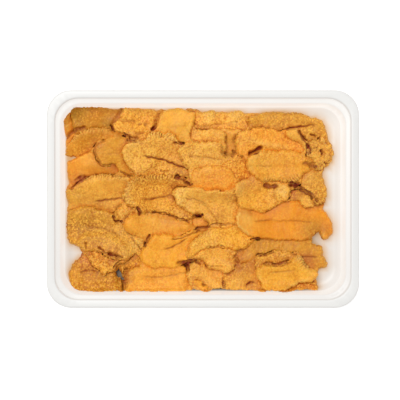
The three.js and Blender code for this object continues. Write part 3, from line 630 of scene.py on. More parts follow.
tongues["16"] = dict(
    slot="roe_golden", grain=0.95, ragged=0.8, pale=0.15, drab=0.2,
    outline=[(-46.8, 1.8), (-46.3, 4.7), (-45.1, 8), (-43.1, 11.2), (-40.7, 12.4), (-36.6, 13.9),
        (-30.1, 14.6), (-22.4, 14.5), (-14.8, 13), (-8.8, 11.2), (-4.1, 5.3), (-1.8, -2.9), (-4.1, -8.8),
        (-7.1, -12.1), (-10, -12.6), (-14.8, -11.5), (-18.9, -9.1), (-23.6, -8.3), (-29.5, -7.4),
        (-33.6, -7.7), (-36.6, -8.6), (-38.9, -5.6), (-42.5, -4.4), (-45.4, -2.1)],
    grooves=[([(-36, 0), (-31.3, 0), (-25.4, 1.2), (-17.7, 2.4)], 0.65)],
    fringes=[[(-44.8, -1.8), (-46, 5.3), (-44.2, 10), (-39.5, 11.8), (-31.3, 13.3), (-22.4, 13.3),
        (-14.8, 11.8)]],
    bands=[([(-46.6, 0), (-43.1, -2.4), (-38.9, -4.1)], 1.5, 0.4), ([(-46, 7.7), (-43.1, 11.2)], 1.4, 0.3)],
    mounds=[(-44.2, 5.3, 3, 0.8)],
    stains=[(-11.2, -7.7, 6, 0.45, 0, 0), (-44.2, 7.7, 4, 0.4, 0, 0), (-44.2, 0.6, 4, 0.4, 0, 0),
        (-11.2, 10, 5, 0, 0, 0.4)],
    blush=[(-13.6, 8.8, 7, 0.4)],
)
tongues["12"] = dict(
    slot="roe_golden", grain=0.9, plump=1.2, pale=0.65, warm=0.1, rosy=0.25,
    outline=[(-14.5, 28.3), (-13, 31), (-10, 32.6), (-5.9, 33.5), (1.2, 33.8), (7.7, 33.6), (11.2, 32.4),
        (12.4, 29.5), (12.1, 26.5), (14.8, 24.2), (16.5, 20.1), (14.8, 9.4), (5.3, 6.5), (-1.8, 7.7),
        (-4.7, 13.6), (-8, 17.7), (-11.2, 20.6), (-13.6, 24.2)],
    grooves=[([(-8.8, 24.8), (-1.8, 24.8), (5.3, 24.2), (13.6, 23)], 0.3)],
)
tongues["19"] = dict(
    slot="roe_orange", grain=1.1, pale=0.15,
    outline=[(13.6, 19.5), (15.9, 22.7), (18.3, 24.6), (22.4, 25.2), (26.5, 25.1), (28.9, 23), (28.9, 15.9),
        (31.3, 11.2), (26.5, 8.8), (21.8, 7.1), (18.9, 4.4), (15.9, 5.3), (14.8, 9.4), (15.3, 14.2)],
    stains=[(19.5, 22.4, 5, 0.35, 0, 0)],
)
tongues["18"] = dict(
    slot="roe_orange", lumps=0.3, ragged=0.2, plump=1.1, roll=3.5, pale=0.2, warm=0.6, rosy=0,
    outline=[(-7.1, 12.4), (-6.5, 15.3), (-4.1, 17.4), (0.6, 18.6), (6.5, 19.2), (11.8, 18.9), (15.9, 17.4),
        (18.6, 14.5), (19.5, 10.6), (18.3, 7.1), (14.8, 4.7), (8.3, 3.8), (1.2, 4.1), (-4.1, 5.9),
        (-6.5, 8.8)],
    bands=[([(7.1, 17.7), (-1.8, 16.5), (-4.7, 12.4), (-2.4, 7.7)], 2.5, 0.25)],
)
tongues["14"] = dict(
    slot="roe_orange", grain=0.75, pale=0.15, rosy=0.4,
    outline=[(18.9, 33.6), (19.8, 36.9), (22.1, 39.1), (26, 40.6), (29.5, 41.9), (32.4, 42.6), (35.4, 41.5),
        (40.1, 41.3), (44.8, 40.1), (50.1, 38.6), (56, 35.4), (60.8, 31.3), (61.4, 27.1), (57.2, 24.2),
        (48.4, 24.2), (39.5, 24.2), (32.4, 24.5), (26, 24.8), (21.8, 25.4), (19.8, 28.9)],
    bands=[([(26, 36), (32.4, 33.6), (38.4, 32.7), (45.4, 31.9), (52.5, 28.9)], 2, 0.35)],
    mounds=[(34.8, 31.3, 3, 1.2), (38.9, 31.9, 3, 1.4), (43.7, 31.3, 3, 1.4), (48.4, 30.1, 3, 1.2),
        (28.9, 34.8, 5, 0.8)],
    stains=[(23, 34.8, 5, 0.35, 0, 0), (39.5, 31.3, 5, 0, 0.5, 0), (46.6, 30.1, 5, 0, 0.5, 0)],
)
tongues["13"] = dict(
    slot="roe_bright", grain=0.8, pale=0.35,
    outline=[(49, 39.8), (51.3, 40.8), (54.3, 40.8), (56.6, 38.4), (59, 35.4), (61.4, 33), (59.6, 31),
        (56.6, 33.3), (53.7, 34.8), (50.7, 36.6), (49.1, 38.1)],
)
tongues["34"] = dict(
    slot="roe_bright", grain=0.45, ragged=0.35, roll=2.6, warm=0.15, rosy=0.5,
    outline=[(-31, -23.3), (-28.3, -21.5), (-24.2, -20.6), (-19.5, -21.2), (-14.8, -22.1), (-10.6, -20.4),
        (-5.9, -18.6), (-1.8, -19.5), (-0.6, -25.4), (-2.9, -32.4), (-7.7, -35.7), (-10, -37.5),
        (-13.6, -39.8), (-17.7, -41), (-23.6, -40.9), (-28.9, -41), (-32.7, -39.8), (-35.4, -37.5),
        (-37, -34.5), (-36.3, -31.3), (-33.6, -27.1)],
    grooves=[([(-23, -30.1), (-17.7, -28.3), (-13, -26), (-8.8, -23)], 0.6)],
)
tongues["17"] = dict(
    slot="roe_bright", grain=0.7, ragged=0.6, plump=1.3, pale=0.5, warm=0.25, rosy=0.1,
    outline=[(-17.7, 4.1), (-15.9, 6), (-11.8, 6.9), (-6.5, 6.5), (-0.6, 6.5), (3.5, 5.1), (8.8, 5.1),
        (14.2, 4.4), (17.7, 4.4), (19.5, 1.2), (20.9, -2.9), (23, -6.5), (20.9, -8.8), (19.8, -12.4),
        (18.3, -15.9), (14.8, -16.2), (11.8, -15), (7.7, -15.6), (4.1, -15.9), (1.5, -13.3), (-0.6, -10.6),
        (-4.1, -8.6), (-8.3, -7.8), (-11.8, -5.6), (-15, -2.7), (-17.1, 0.6)],
    grooves=[([(-11.8, 0.6), (-4.7, -0.6), (2.9, -3.5)], 0.35)],
    bands=[([(-7.7, 5.3), (-14.8, 4.7), (-15.3, 1.2), (-12.4, -2.9)], 1.8, 0.35)],
    stains=[(-13.6, -2.4, 6, 0.4, 0, 0), (8.8, -8.8, 6, -0.2, 0, 0.15)],
    blush=[(16.5, 1.8, 4, 0.3), (7.1, -10.6, 6, 0.3)],
)
tongues["36"] = dict(
    slot="roe_golden", grain=0.75, plump=1.6, pale=0.4, rosy=0.5,
    outline=[(-8, -32.4), (-5.3, -28.9), (0, -27.7), (5.9, -27.7), (11.2, -28), (15.3, -30.1), (18, -33.9),
        (19.2, -36.9), (18.3, -40.1), (15.9, -43.1), (13, -43.4), (10, -41.9), (5.3, -41.6), (2.7, -39.8),
        (0.6, -36.6), (-2.9, -34.8), (-6.2, -35.3)],
    blush=[(17.1, -36, 4, 0.4)],
)
tongues["35"] = dict(
    slot="roe_bright", grain=0.85, streak=0.8, rosy=0.4,
    outline=[(-8.3, -30.1), (-7.4, -26.8), (-5, -23.9), (-1.8, -21.2), (2.4, -18.9), (7.1, -17.4),
        (13, -17.3), (18.3, -16.8), (22.4, -18.2), (26, -20.6), (28.9, -22.7), (28.9, -25.1), (26.3, -27.7),
        (22.4, -29.2), (18.3, -30.1), (11.2, -28.2), (4.7, -28.3), (-1.8, -30.7), (-7.4, -34.2)],
    bands=[([(6.5, -18.9), (0, -21.2), (-5.3, -26), (-7.1, -30.7)], 2.2, 0.35)],
    stains=[(6.5, -26.5, 7, 0.3, 0, 0), (1.2, -27.1, 8, 0.3, 0, 0)],
)
tongues["26"] = dict(
    slot="roe_orange", grain=0.25, lumps=0.35, ragged=0.3, roll=1.9, warm=0.15, drab=0.12,
    outline=[(19.5, -11.2), (20.1, -8.3), (21.8, -6.8), (24.8, -6.5), (30.7, -7.4), (36.6, -8),
        (39.5, -5.9), (43.7, -3.5), (48.4, -0.6), (54.3, 0), (59, -2.4), (63.1, -5), (67.8, -4.4),
        (71.4, -6.5), (74.3, -9.1), (76.1, -12.4), (77.3, -15.9), (77.3, -18.9), (75.5, -21.8),
        (73.2, -23.9), (71.1, -23.9), (70.2, -21.8), (69.3, -19.5), (67.3, -20.9), (64.3, -23),
        (60.2, -24.5), (54.3, -24.7), (48.4, -24.5), (42.5, -24.2), (36.6, -23.6), (31.3, -23), (27.7, -22),
        (24.2, -19.8), (21.2, -17.1), (19.6, -14.2)],
    grooves=[([(30.1, -13), (39.5, -12.4), (48.4, -13), (57.2, -13), (64.9, -14.2)], 0.32)],
    bands=[([(23, -7.1), (20.4, -10.6), (20.9, -15.3), (25.4, -19.8), (28.9, -21.8)], 0.8, 0.6)],
    stains=[(25.4, -10, 6, 0.4, 0, 0), (69, -17.1, 5, 0, 0.3, 0.3), (26, -13.6, 7, 0.25, 0, 0),
        (73.8, -19.5, 2.5, 0, 0.9, 0.2), (70.8, -21.8, 2.2, 0.6, 0, 0), (63.7, -18.3, 6, 0, 0, 0.5)],
    blush=[(74.3, -17.1, 4, 0.4), (64.3, -19.5, 7, 0.3)],
)
tongues["25"] = dict(
    slot="roe_bright", grain=0.5, pale=0.2, drab=0.05,
    outline=[(51.3, 5.3), (56, 5.9), (59.6, 4.1), (62.5, 2.4), (65.2, -0.6), (64.6, -2.9), (62.8, -5.3),
        (60.2, -4.7), (57.8, -1.8), (54.9, -1.2), (50.7, 0.6)],
    bands=[([(59.6, 2.4), (62.5, 0.6), (64.3, -2.4), (62.5, -4.7)], 1, 0.5)],
    stains=[(55.5, 2.9, 4, 0, 0, 0.45)],
    blush=[(54.3, 2.9, 5, 0.8)],
)
tongues["24"] = dict(
    slot="roe_ochre", grain=0.75, pale=0.3, drab=0.25,
    outline=[(56.6, 13.6), (59.6, 17.4), (64.3, 18.6), (69, 18), (71.3, 14.8), (71.9, 11.2), (73, 7.7),
        (73.6, 3.5), (73.5, -0.6), (71.7, -3.2), (68.4, -4.1), (65.5, -3.2), (65.5, 0), (62.5, 4.1),
        (59.6, 5.9), (56.6, 8.8)],
    grooves=[([(58.4, 4.1), (63.1, -0.6), (67.8, -4.1)], 0.8)],
    mounds=[(61.4, 13.6, 4, 0.8), (65.5, 14.2, 3, 0.8)],
    stains=[(61.9, 14.2, 5, 0.5, 0, -0.2)],
)
tongues["23"] = dict(
    slot="roe_bright", grain=0.7, ragged=0.35, pale=0.1, warm=0.15,
    outline=[(18.8, 5.3), (19.8, 8.3), (21.8, 10.3), (26, 11.5), (32.4, 11.2), (37.2, 12.4), (45.4, 13),
        (54.9, 12.4), (57.2, 9.4), (54.3, 6.2), (51.9, 5), (51.6, 2.4), (49.6, -0.6), (46, -2.4),
        (43.1, -4.1), (38.9, -6.5), (35.4, -8), (31.9, -7.4), (28.9, -6.2), (24.2, -6.2), (21.5, -4.4),
        (20.1, -0.6), (19, 2.4)],
    mounds=[(47.2, 4.1, 4, 2)],
    stains=[(22.4, 10.6, 5, 0.5, 0, 0), (46.6, 5.9, 4, 0.7, 0, 0), (20.6, 2.4, 4, 0.4, 0, 0),
        (46, 2.9, 6, 0.35, 0, 0), (45.4, 5.9, 3.5, 0.6, 0, 0), (21.8, 5.3, 4, 0.3, 0, 0)],
    blush=[(27.7, 10, 5, 0.6)],
)
tongues["22"] = dict(
    slot="roe_golden", grain=0.55, streak=0.6, ragged=0.35, roll=2.6, pale=0.1, drab=0.1,
    outline=[(26, 21.2), (27.1, 24.2), (29.5, 26), (33.6, 27.7), (39.5, 28.9), (46.6, 28.9), (52.5, 28.3),
        (57.8, 27), (61.9, 24.8), (64.9, 22.1), (65.8, 19.5), (63.1, 16.8), (59.3, 13.9), (55.8, 10.9),
        (51.9, 9.7), (45.4, 10.3), (39.5, 10.7), (34.8, 11.2), (30.7, 13), (28, 15.6), (26.4, 18.3)],
    grooves=[([(31.9, 19.5), (36.6, 19.5), (41.3, 18.9)], 0.2)],
    fringes=[[(34.8, 11.2), (42.5, 9.4), (51.3, 10), (58.4, 13.6)]],
    bands=[([(34.8, 26.5), (28.3, 23.6), (27.7, 19.5), (30.1, 15.3)], 1.6, 0.35)],
    stains=[(34.8, 23, 8, 0.25, 0, 0)],
)
tongues["06"] = dict(
    slot="roe_golden", grain=0.8, crumble=0.9, ragged=0.9, pale=0.45, drab=0.15,
    outline=[(62.5, 32.7), (65.5, 33.9), (68.4, 33.9), (69.9, 36.6), (72.6, 34.2), (74.3, 32.4),
        (76.7, 32.2), (77.2, 27.7), (76.7, 23), (75.8, 20.1), (74.3, 18.6), (70.8, 18.6), (68.4, 17.7),
        (67, 18.3), (66.7, 22.7), (64.3, 23.9), (61.7, 25.4), (61.1, 27.7), (62.5, 29.5)],
    pits=[(62.8, 28.3, 1.6, 1.2)],
    mounds=[(73.8, 29.5, 2, 0.8), (66.7, 31.3, 2, 0.8), (67.8, 23, 2.5, 0.9)],
)

gaps = [  # openings between the tongues, dented and darkened with painted shade: a bent line, half its width and how deep it is
    ([(-5, -10), (-2.9, -10.3), (-0.6, -10)], 0.8, 1.2),
    ([(-3.5, -17.7), (0, -17.1), (3.5, -16.8)], 0.8, 0.8),
    ([(-31.6, -22.1), (-33, -24.2), (-34.5, -27.7)], 0.9, 0.85),
    ([(-16.5, 33), (-14.2, 32.7), (-11.8, 32.7)], 0.9, 1),
    ([(-38.4, -5.3), (-37.2, -8.3)], 1, 1),
    ([(-29.5, -7.4), (-25.4, -8), (-20.6, -8.8), (-15.9, -11.2), (-7.7, -13.3)], 0.5, 0.65),
    ([(-29.5, 41.9), (-27.4, 46), (-26, 50.7)], 1.4, 0.22),
    ([(-30.1, 41.3), (-28.9, 42.5)], 0.9, 0.9),
    ([(37.2, 8), (40.1, 7.1), (43.1, 7.7)], 1.2, 0.9),
    ([(52.5, 8.3), (56, 8)], 1.7, 2.8),
    ([(28.9, -23.6), (33.6, -23.6)], 0.6, 1),
    ([(20.1, -35.4), (21.2, -37.2)], 0.6, 0.5),
    ([(-13.6, -37.8), (-10, -38.4), (-7.1, -36.6)], 1.5, 0.9),
    ([(-10, -39.5), (-8.8, -41.3)], 1.1, 0.9),
    ([(-7.7, -35.1), (-4.1, -36.3), (-1.8, -38.4)], 0.8, 0.65),
    ([(-15.3, 13.3), (-11.2, 11.5), (-7.4, 8.3)], 1.1, 1.05),
    ([(-24.8, 16.8), (-21.2, 16.2)], 0.8, 0.5),
    ([(-38.9, 38.4), (-35.4, 39.5)], 0.9, 0.45),
    ([(-44.2, 34.8), (-38.9, 33.6)], 0.9, 0.5),
    ([(-46.6, 38.1), (-41.9, 36.6)], 0.6, 0.5),
    ([(-54.3, 43.7), (-53.1, 41.3)], 0.7, 0.9),
    ([(-53.1, -8.8), (-52.5, -13), (-48.4, -13.6)], 0.7, 0.9),
    ([(-47.5, -48.4), (-46.9, -53.7)], 0.9, 0.5),
    ([(-46, -42.5), (-45.7, -51.3)], 1.5, 0.35),
    ([(-46.6, 38.4), (-42.5, 36.3), (-38.4, 36)], 0.9, 0.55),
    ([(-55.5, -31.9), (-52.5, -32.7), (-47.8, -34.5)], 0.9, 0.8),
    ([(53.7, -32.2), (55.5, -32.7)], 0.5, 0.6),
    ([(1.8, -39.5), (5.9, -40.1), (11.2, -40.1)], 0.5, 0.4),
    ([(21.2, 26), (23.6, 24.8)], 0.4, 0.5),
    ([(11.8, 27.7), (15.3, 25.4), (18.3, 26.5)], 1.2, 0.3),
    ([(18.3, 28.9), (19.5, 27.1)], 0.7, 0.6),
    ([(28.3, 27.4), (31.3, 28.3), (33.6, 30.1)], 1.3, 1.3),
    ([(58.4, 5.9), (63.7, 2.7), (68.4, -1.2)], 0.9, 0.85),
    ([(70.2, 28.9), (70.8, 27.1)], 0.9, 1.1),
    ([(61.9, 31.3), (62.8, 28.9), (61.9, 26.5)], 1.2, 1.2),
    ([(57.2, 39.5), (59.6, 36), (61.9, 33)], 1, 0.85),
    ([(64.3, 38.4), (66.7, 37.2)], 0.6, 0.8),
    ([(69, 36), (69, 34.8)], 0.6, 0.8),
    ([(72.6, 21.8), (74.3, 20.1)], 0.5, 0.8),
    ([(32.4, -33), (34.8, -33)], 0.4, 0.7),
    ([(36, -33.3), (41.9, -31.3)], 0.4, 0.7),
    ([(41.3, -38.9), (46, -38.4), (51.3, -37.2)], 0.9, 0.5),
    ([(67.3, -21.2), (70.2, -23.6)], 0.8, 0.8),
    ([(-58.4, 34.5), (-61.9, 33.3), (-64.3, 30.7), (-64, 26.5), (-61.9, 22.4), (-59, 19.5), (-54.9, 20.1)],
        0.75, 0.4),
    ([(-49, 16.2), (-45.4, 14.8), (-42.5, 13)], 0.7, 0.7),
    ([(-77.9, 6.5), (-73.8, 9.4), (-67.8, 12.4), (-63.1, 14.2)], 0.4, 0.45),
    ([(-75.5, 11.2), (-72.6, 13.6), (-69.6, 13)], 0.8, 0.4),
    ([(-61.1, -28.7), (-58.1, -31.6), (-54.3, -33.6), (-48.6, -35.2)], 0.85, 0.9),
    ([(-76.7, -30.7), (-73.8, -32.2)], 2.5, 0.3),
    ([(-42.5, -23), (-36.6, -30.1)], 0.4, 0.5),
    ([(42.5, 6.5), (41.9, 1.8), (44.8, -1.2)], 0.6, 0.35),
    ([(51.9, 5.3), (50.7, 0)], 0.6, 0.5),
    ([(-17.1, -23.9), (-12.4, -22.4), (-7.7, -20.6), (-3.5, -19.2)], 0.9, 0.65),
    ([(-80.8, 36.6), (-78.5, 38.9), (-75.5, 40.7), (-70.2, 41.9)], 1.2, 0.7),
    ([(-49, 52.5), (-50.7, 49), (-53.1, 45.4)], 1.1, 0.3),
    ([(60.8, 20.9), (63.7, 20.1), (66.7, 18.9)], 1.7, 0.7),
    ([(4.7, -15.6), (8.3, -14.8), (11.2, -15.6), (14.8, -14.8), (18.9, -15.3)], 0.5, 0.5),
    ([(18.3, 4.1), (20.1, -1.2), (21.8, -5.9)], 0.4, 0.2),
    ([(11.2, -27.4), (12.4, -28.3)], 0.6, 0.8),
    ([(1.8, -28.3), (6.5, -28.7), (10.6, -28.3)], 0.3, 0.2),
    ([(12.1, -49.6), (12.7, -53.1)], 0.6, 0.45),
    ([(36, -38.6), (43.1, -38.4)], 0.5, 0.4),
    ([(-69.3, -25.4), (-69, -29.5)], 0.4, 0.7),
    ([(0, -2.9), (4.7, -8.3), (8.3, -13.6)], 0.5, 0.3),
]


def smoothRing(points, spacing=0.6):  # a smooth closed line through the outline's points
    corners = np.array(points, float)
    pieces = []
    for k in range(len(corners)):
        before, start, end, after = (corners[(k + step) % len(corners)] for step in (-1, 0, 1, 2))
        steps = max(2, int(np.linalg.norm(end - start) / spacing))
        t = (np.arange(steps) / steps)[:, None]
        pieces.append(0.5 * (
            2 * start + (end - before) * t
            + (2 * before - 5 * start + 4 * end - after) * t ** 2
            + (3 * start - before - 3 * end + after) * t ** 3
        ))
    return np.concatenate(pieces)


def depthInside(x, y, ring):  # how far inside the outline each point lies; negative outside
    nearest = np.full(x.shape, np.inf)
    inside = np.zeros(x.shape, bool)
    for (ax, ay), (bx, by) in zip(ring, np.roll(ring, -1, 0)):
        dx, dy = bx - ax, by - ay
        t = np.clip(((x - ax) * dx + (y - ay) * dy) / (dx * dx + dy * dy + 1e-12), 0, 1)
        nearest = np.minimum(nearest, (x - ax - t * dx) ** 2 + (y - ay - t * dy) ** 2)
        if ay != by:
            inside ^= ((ay > y) != (by > y)) & (x < ax + (y - ay) * dx / dy)
    return np.where(inside, 1, -1) * np.sqrt(nearest)


pile = {"pitch": 0.5, "reachX": 82, "reachY": 58, "wallTop": 22, "wallStep": 0.1}
columns = int(2 * pile["reachX"] / pile["pitch"]) + 1
rows = int(2 * pile["reachY"] / pile["pitch"]) + 1
gridX, gridY = np.meshgrid(
    np.linspace(-pile["reachX"], pile["reachX"], columns),
    np.linspace(-pile["reachY"], pile["reachY"], rows),
)


def trayInset(z):  # how far in from the rim the inside of the wall stands at a height
    s = tray
    stepInset, stepHeight = s["ledge"][-1]
    bend = np.clip(1 - (z - s["sheet"]) / s["floorRound"], 0, 1)
    foot = s["wallFoot"] + s["floorRound"] * (1 - np.sqrt(1 - bend ** 2))
    start = s["sheet"] + s["floorRound"]
    rise = (z - start) / (stepHeight - start)
    return np.where(z > start, s["wallFoot"] + (stepInset - s["wallFoot"]) * rise, foot)


def wayOut(x, y, inset):  # distance outside the tray's wall, and the direction outward
    s = tray
    radius = s["cornerRadius"] * (1 - inset / s["cornerShrink"])
    overX = np.abs(x) - (s["length"] / 2 - inset - radius)
    overY = np.abs(y) - (s["width"] / 2 - inset - radius)
    corner = (overX > 0) & (overY > 0)
    far = np.hypot(overX, overY) + 1e-9
    out = np.where(corner, far, np.maximum(overX, overY)) - radius
    wayX = np.where(corner, overX / far, overX > overY) * np.sign(x)
    wayY = np.where(corner, overY / far, overX <= overY) * np.sign(y)
    return out, wayX, wayY


def trayHeights():
    low = np.full(gridX.shape, tray["sheet"])
    for z in np.arange(tray["sheet"], pile["wallTop"], pile["wallStep"]):
        out = wayOut(gridX, gridY, trayInset(z))[0]
        low = np.where(out > 0, z, low)
    return low


def soften(heights, times):
    for _ in range(times):
        padded = np.pad(heights, 1, mode="edge")
        around = padded[:-2, 1:-1] + padded[2:, 1:-1] + padded[1:-1, :-2] + padded[1:-1, 2:]
        heights = (around + 2 * heights) / 6
    return heights


def sample(grid, points):  # what a map of the pile says at each point
    across = np.clip((points[:, 0] + pile["reachX"]) / pile["pitch"], 0, columns - 1.001)
    up = np.clip((points[:, 1] + pile["reachY"]) / pile["pitch"], 0, rows - 1.001)
    i, j = across.astype(int), up.astype(int)
    u, v = across - i, up - j
    near = grid[j, i] * (1 - u) + grid[j, i + 1] * u
    far = grid[j + 1, i] * (1 - u) + grid[j + 1, i + 1] * u
    return near * (1 - v) + far * v


laying = {  # how the tongues lie on the tray and on one another
    "coarse": 4, "below": -5, "above": 60, "fullShare": 85, "soundShare": 0.75, "spreadTimes": 240,
    "sink": 0.4, "sinkMore": 1.2, "sinkReach": (0.5, 6), "bridgeTimes": 90, "bridgeReach": (0, 4),
    "softenTimes": 14, "floorGap": 0.15, "pressed": 0.42, "pressedReach": (-0.5, 2.0), "pressedTimes": 6,
    "shoulder": 0.56, "crownReach": 4.5, "underReach": 0.9, "wallGap": 0.25, "sheetGap": 0.05,
    "margin": 14.0, "farOff": 9.0, "tuck": 5, "tears": [(1.1, 2.8, 50), (0.7, 1.4, 150)],
    "calmInset": 8, "calmReach": (1, 6), "calmShare": 0.25,
}


def restOf(node, x, y):  # height at which the solid lies over part of the grid, and its thickness
    s = laying
    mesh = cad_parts[node].data
    points = readPoints(mesh)
    solid = BVHTree.FromPolygons([tuple(p) for p in points], [tuple(f.vertices) for f in mesh.polygons])
    xs, ys = x[::s["coarse"], ::s["coarse"]], y[::s["coarse"], ::s["coarse"]]
    low = np.full(xs.shape, np.nan)
    thick = np.zeros(xs.shape)
    for place in np.ndindex(xs.shape):
        up = solid.ray_cast((xs[place], ys[place], s["below"]), (0, 0, 1))[0]
        down = solid.ray_cast((xs[place], ys[place], s["above"]), (0, 0, -1))[0]
        if up and down:
            low[place] = up.z
            thick[place] = down.z - up.z
    full = np.percentile(thick[thick > 0], s["fullShare"])
    known = thick > s["soundShare"] * full
    heights = np.where(known, low, np.nanmean(low[known]))
    for _ in range(s["spreadTimes"]):
        heights = np.where(known, low, soften(heights, 1))
    fine = np.array([np.interp(x[0], xs[0], line) for line in heights])
    fine = np.array([np.interp(y[:, 0], ys[:, 0], line) for line in fine.T]).T
    return fine, full


def layTongue(node, shape, depth, window, pileHeights, floorHeights, cover):
    s = laying
    x, y, inside = gridX[window], gridY[window], depth[window]
    rest, thick = restOf(node, x, y)
    sink = s["sink"] + s["sinkMore"] * smoothStep(*s["sinkReach"], inside)
    rest = np.maximum(rest, pileHeights[window] - sink)
    bridge = np.maximum(soften(rest, s["bridgeTimes"]), rest)  # a thick tongue spans the hollows below it
    rest += (bridge - rest) * smoothStep(*s["bridgeReach"], inside)
    rest = soften(rest, s["softenTimes"])
    rest = np.maximum(rest, floorHeights[window] + s["floorGap"])
    covered = soften(smoothStep(*s["pressedReach"], cover[window]), s["pressedTimes"])
    thick = thick * shape["plump"] * (1 - s["pressed"] * covered)
    rim = shape["rim"]
    depthIn = np.clip(inside, 0, None)
    edge = np.sqrt(1 - (1 - np.clip(depthIn / shape["roll"], 0, 1)) ** 2)
    crown = edge * (s["shoulder"] + (1 - s["shoulder"]) * (1 - np.exp(-depthIn / s["crownReach"])))
    middle = rest + rim * thick
    top = middle + (1 - rim) * thick * crown
    under = 1 - np.clip(depthIn / s["underReach"], 0, 1)
    bottom = middle - rim * thick * np.sqrt(1 - under ** 2)
    return top, bottom, middle


def pillow(name, depth, window, top, bottom, middle):  # closed mesh between two height maps
    x, y, inside = gridX[window].copy(), gridY[window].copy(), depth[window]
    used = inside > 0
    slopeY, slopeX = np.gradient(inside, pile["pitch"])
    ringPad = np.pad(used, 1)
    tall, wide = used.shape
    full = np.all([ringPad[j:j + tall, i:i + wide] for j in range(3) for i in range(3)], axis=0)
    border = used & ~full
    x[border] -= (slopeX * inside)[border]
    y[border] -= (slopeY * inside)[border]
    top = np.where(border, middle, top)
    number = np.full(used.shape, -1)
    number[used] = np.arange(used.sum())
    upper = np.stack([x[used], y[used], top[used]], axis=1)
    inner = used & ~border
    lower = number.copy()
    lower[inner] = used.sum() + np.arange(inner.sum())
    under = np.stack([x[inner], y[inner], bottom[inner]], axis=1)
    cells = used[:-1, :-1] & used[1:, :-1] & used[:-1, 1:] & used[1:, 1:]
    j, i = np.nonzero(cells)
    around = [(0, 0), (0, 1), (1, 1), (1, 0)]
    faces = [tuple(number[j[k] + dj, i[k] + di] for dj, di in around) for k in range(len(j))]
    faces += [tuple(lower[j[k] + dj, i[k] + di] for dj, di in reversed(around)) for k in range(len(j))]
    mesh = bpy.data.meshes.new(name)
    points = np.concatenate([upper, under]) * mm
    mesh.from_pydata(points.tolist(), [], [tuple(int(n) for n in face) for face in faces])
    mesh.update()
    return mesh


def keepInTray(points):
    inset = trayInset(np.clip(points[:, 2], tray["sheet"], tray["height"])) + laying["wallGap"]
    out, wayX, wayY = wayOut(points[:, 0], points[:, 1], inset)
    back = np.clip(out, 0, None)
    points[:, 0] -= back * wayX
    points[:, 1] -= back * wayY
    points[:, 2] = np.maximum(points[:, 2], tray["sheet"] + laying["sheetGap"])
    return points


def readVectors(items, name):
    flat = np.empty(len(items) * 3, np.float32)
    items.foreach_get(name, flat)
    return flat.reshape(-1, 3).astype(float)


def readPoints(mesh):
    return readVectors(mesh.vertices, "co") / mm


def readNormals(mesh):
    return readVectors(mesh.vertex_normals, "vector")


def writePoints(mesh, points):
    mesh.vertices.foreach_set("co", (points * mm).astype(np.float32).ravel())
    mesh.update()


def writeMask(mesh, name, values):
    layer = mesh.attributes.new(name, "FLOAT", "POINT")
    layer.data.foreach_set("value", values.astype(np.float32))


def alongRing(points, ring, batch=4000):  # place along the outline nearest to each point
    steps = np.roll(ring, -1, 0) - ring
    lengths = np.linalg.norm(steps, axis=1)
    places = np.cumsum(lengths) - lengths
    along = np.empty(len(points))
    for start in range(0, len(points), batch):
        part = points[start:start + batch, :2]
        nearest = ((part[:, None] - ring[None]) ** 2).sum(2).argmin(1)
        way = ((part - ring[nearest]) * steps[nearest]).sum(1) / lengths[nearest]
        along[start:start + batch] = places[nearest] + np.clip(way, -0.4, 0.8)
    return along


def bell(away, width, sharp=2):  # 1 on a mark, falling to 0 around it
    return np.exp(-(away / width) ** sharp)


def fadeEnds(along, length, start, full):  # 1 along a line, falling at both its ends
    return smoothStep(start, full, along) * smoothStep(start, full, length - along)


relief = {  # sizes and heights in mm, and how much each mark is darkened by painted shade and paled by painted highlight
    "topTilt": 0.35, "patchSize": 9, "lumps": [(0.75, 7), (0.4, 3.2)],
    "streakSize": 1.2, "streakStretch": [1, 0.16, 0.2], "streakSlant": 0.25, "streakHeight": 0.3,
    "streakDark": 0.22,
    "beadSize": 1.15, "beadRadius": 0.8, "beadLevel": 0.35, "beadHeight": 0.34, "beadShadeAndHighlight": 0.13,
    "chunkSize": 2.8, "chunkLevel": 0.6, "chunkHeight": 1.2, "chunkDark": 0.5, "chunkPale": 0.4,
    "crackSize": 2.4, "crackSharp": 2.2, "crackDepth": 0.7, "crackDark": 0.35,
    "combSize": 0.95, "combReach": 1.3, "combUneven": 1.1, "combHeight": 0.6, "combLevel": 0.35,
    "combDark": 0.25, "combPale": 0.35, "combOut": 0.8, "combOutLevel": 0.55,
    "fringePitch": 1.7, "fringeReach": 2.6, "fringeSway": 1.5, "fringeHeight": 1.1, "fringeLevel": 0.6,
    "fringeShadeAndHighlight": 0.7,
    "grooveWidth": 0.5, "grooveDepth": 1.5, "grooveDark": 1.15, "dipWidth": 2.0, "dipDepth": 0.4,
    "dipDark": 0.1, "pitDark": 0.95, "bandHeight": 0.5, "gapDepth": 2.2, "gapDark": 0.9,
    "rosyReach": 2.6, "rosyBeside": 0.45, "rosyPatches": 0.12, "contactReach": 0.7, "contactDark": 0.35,
    "edgeReach": 1.2, "edgeHighlight": 0.18,
}


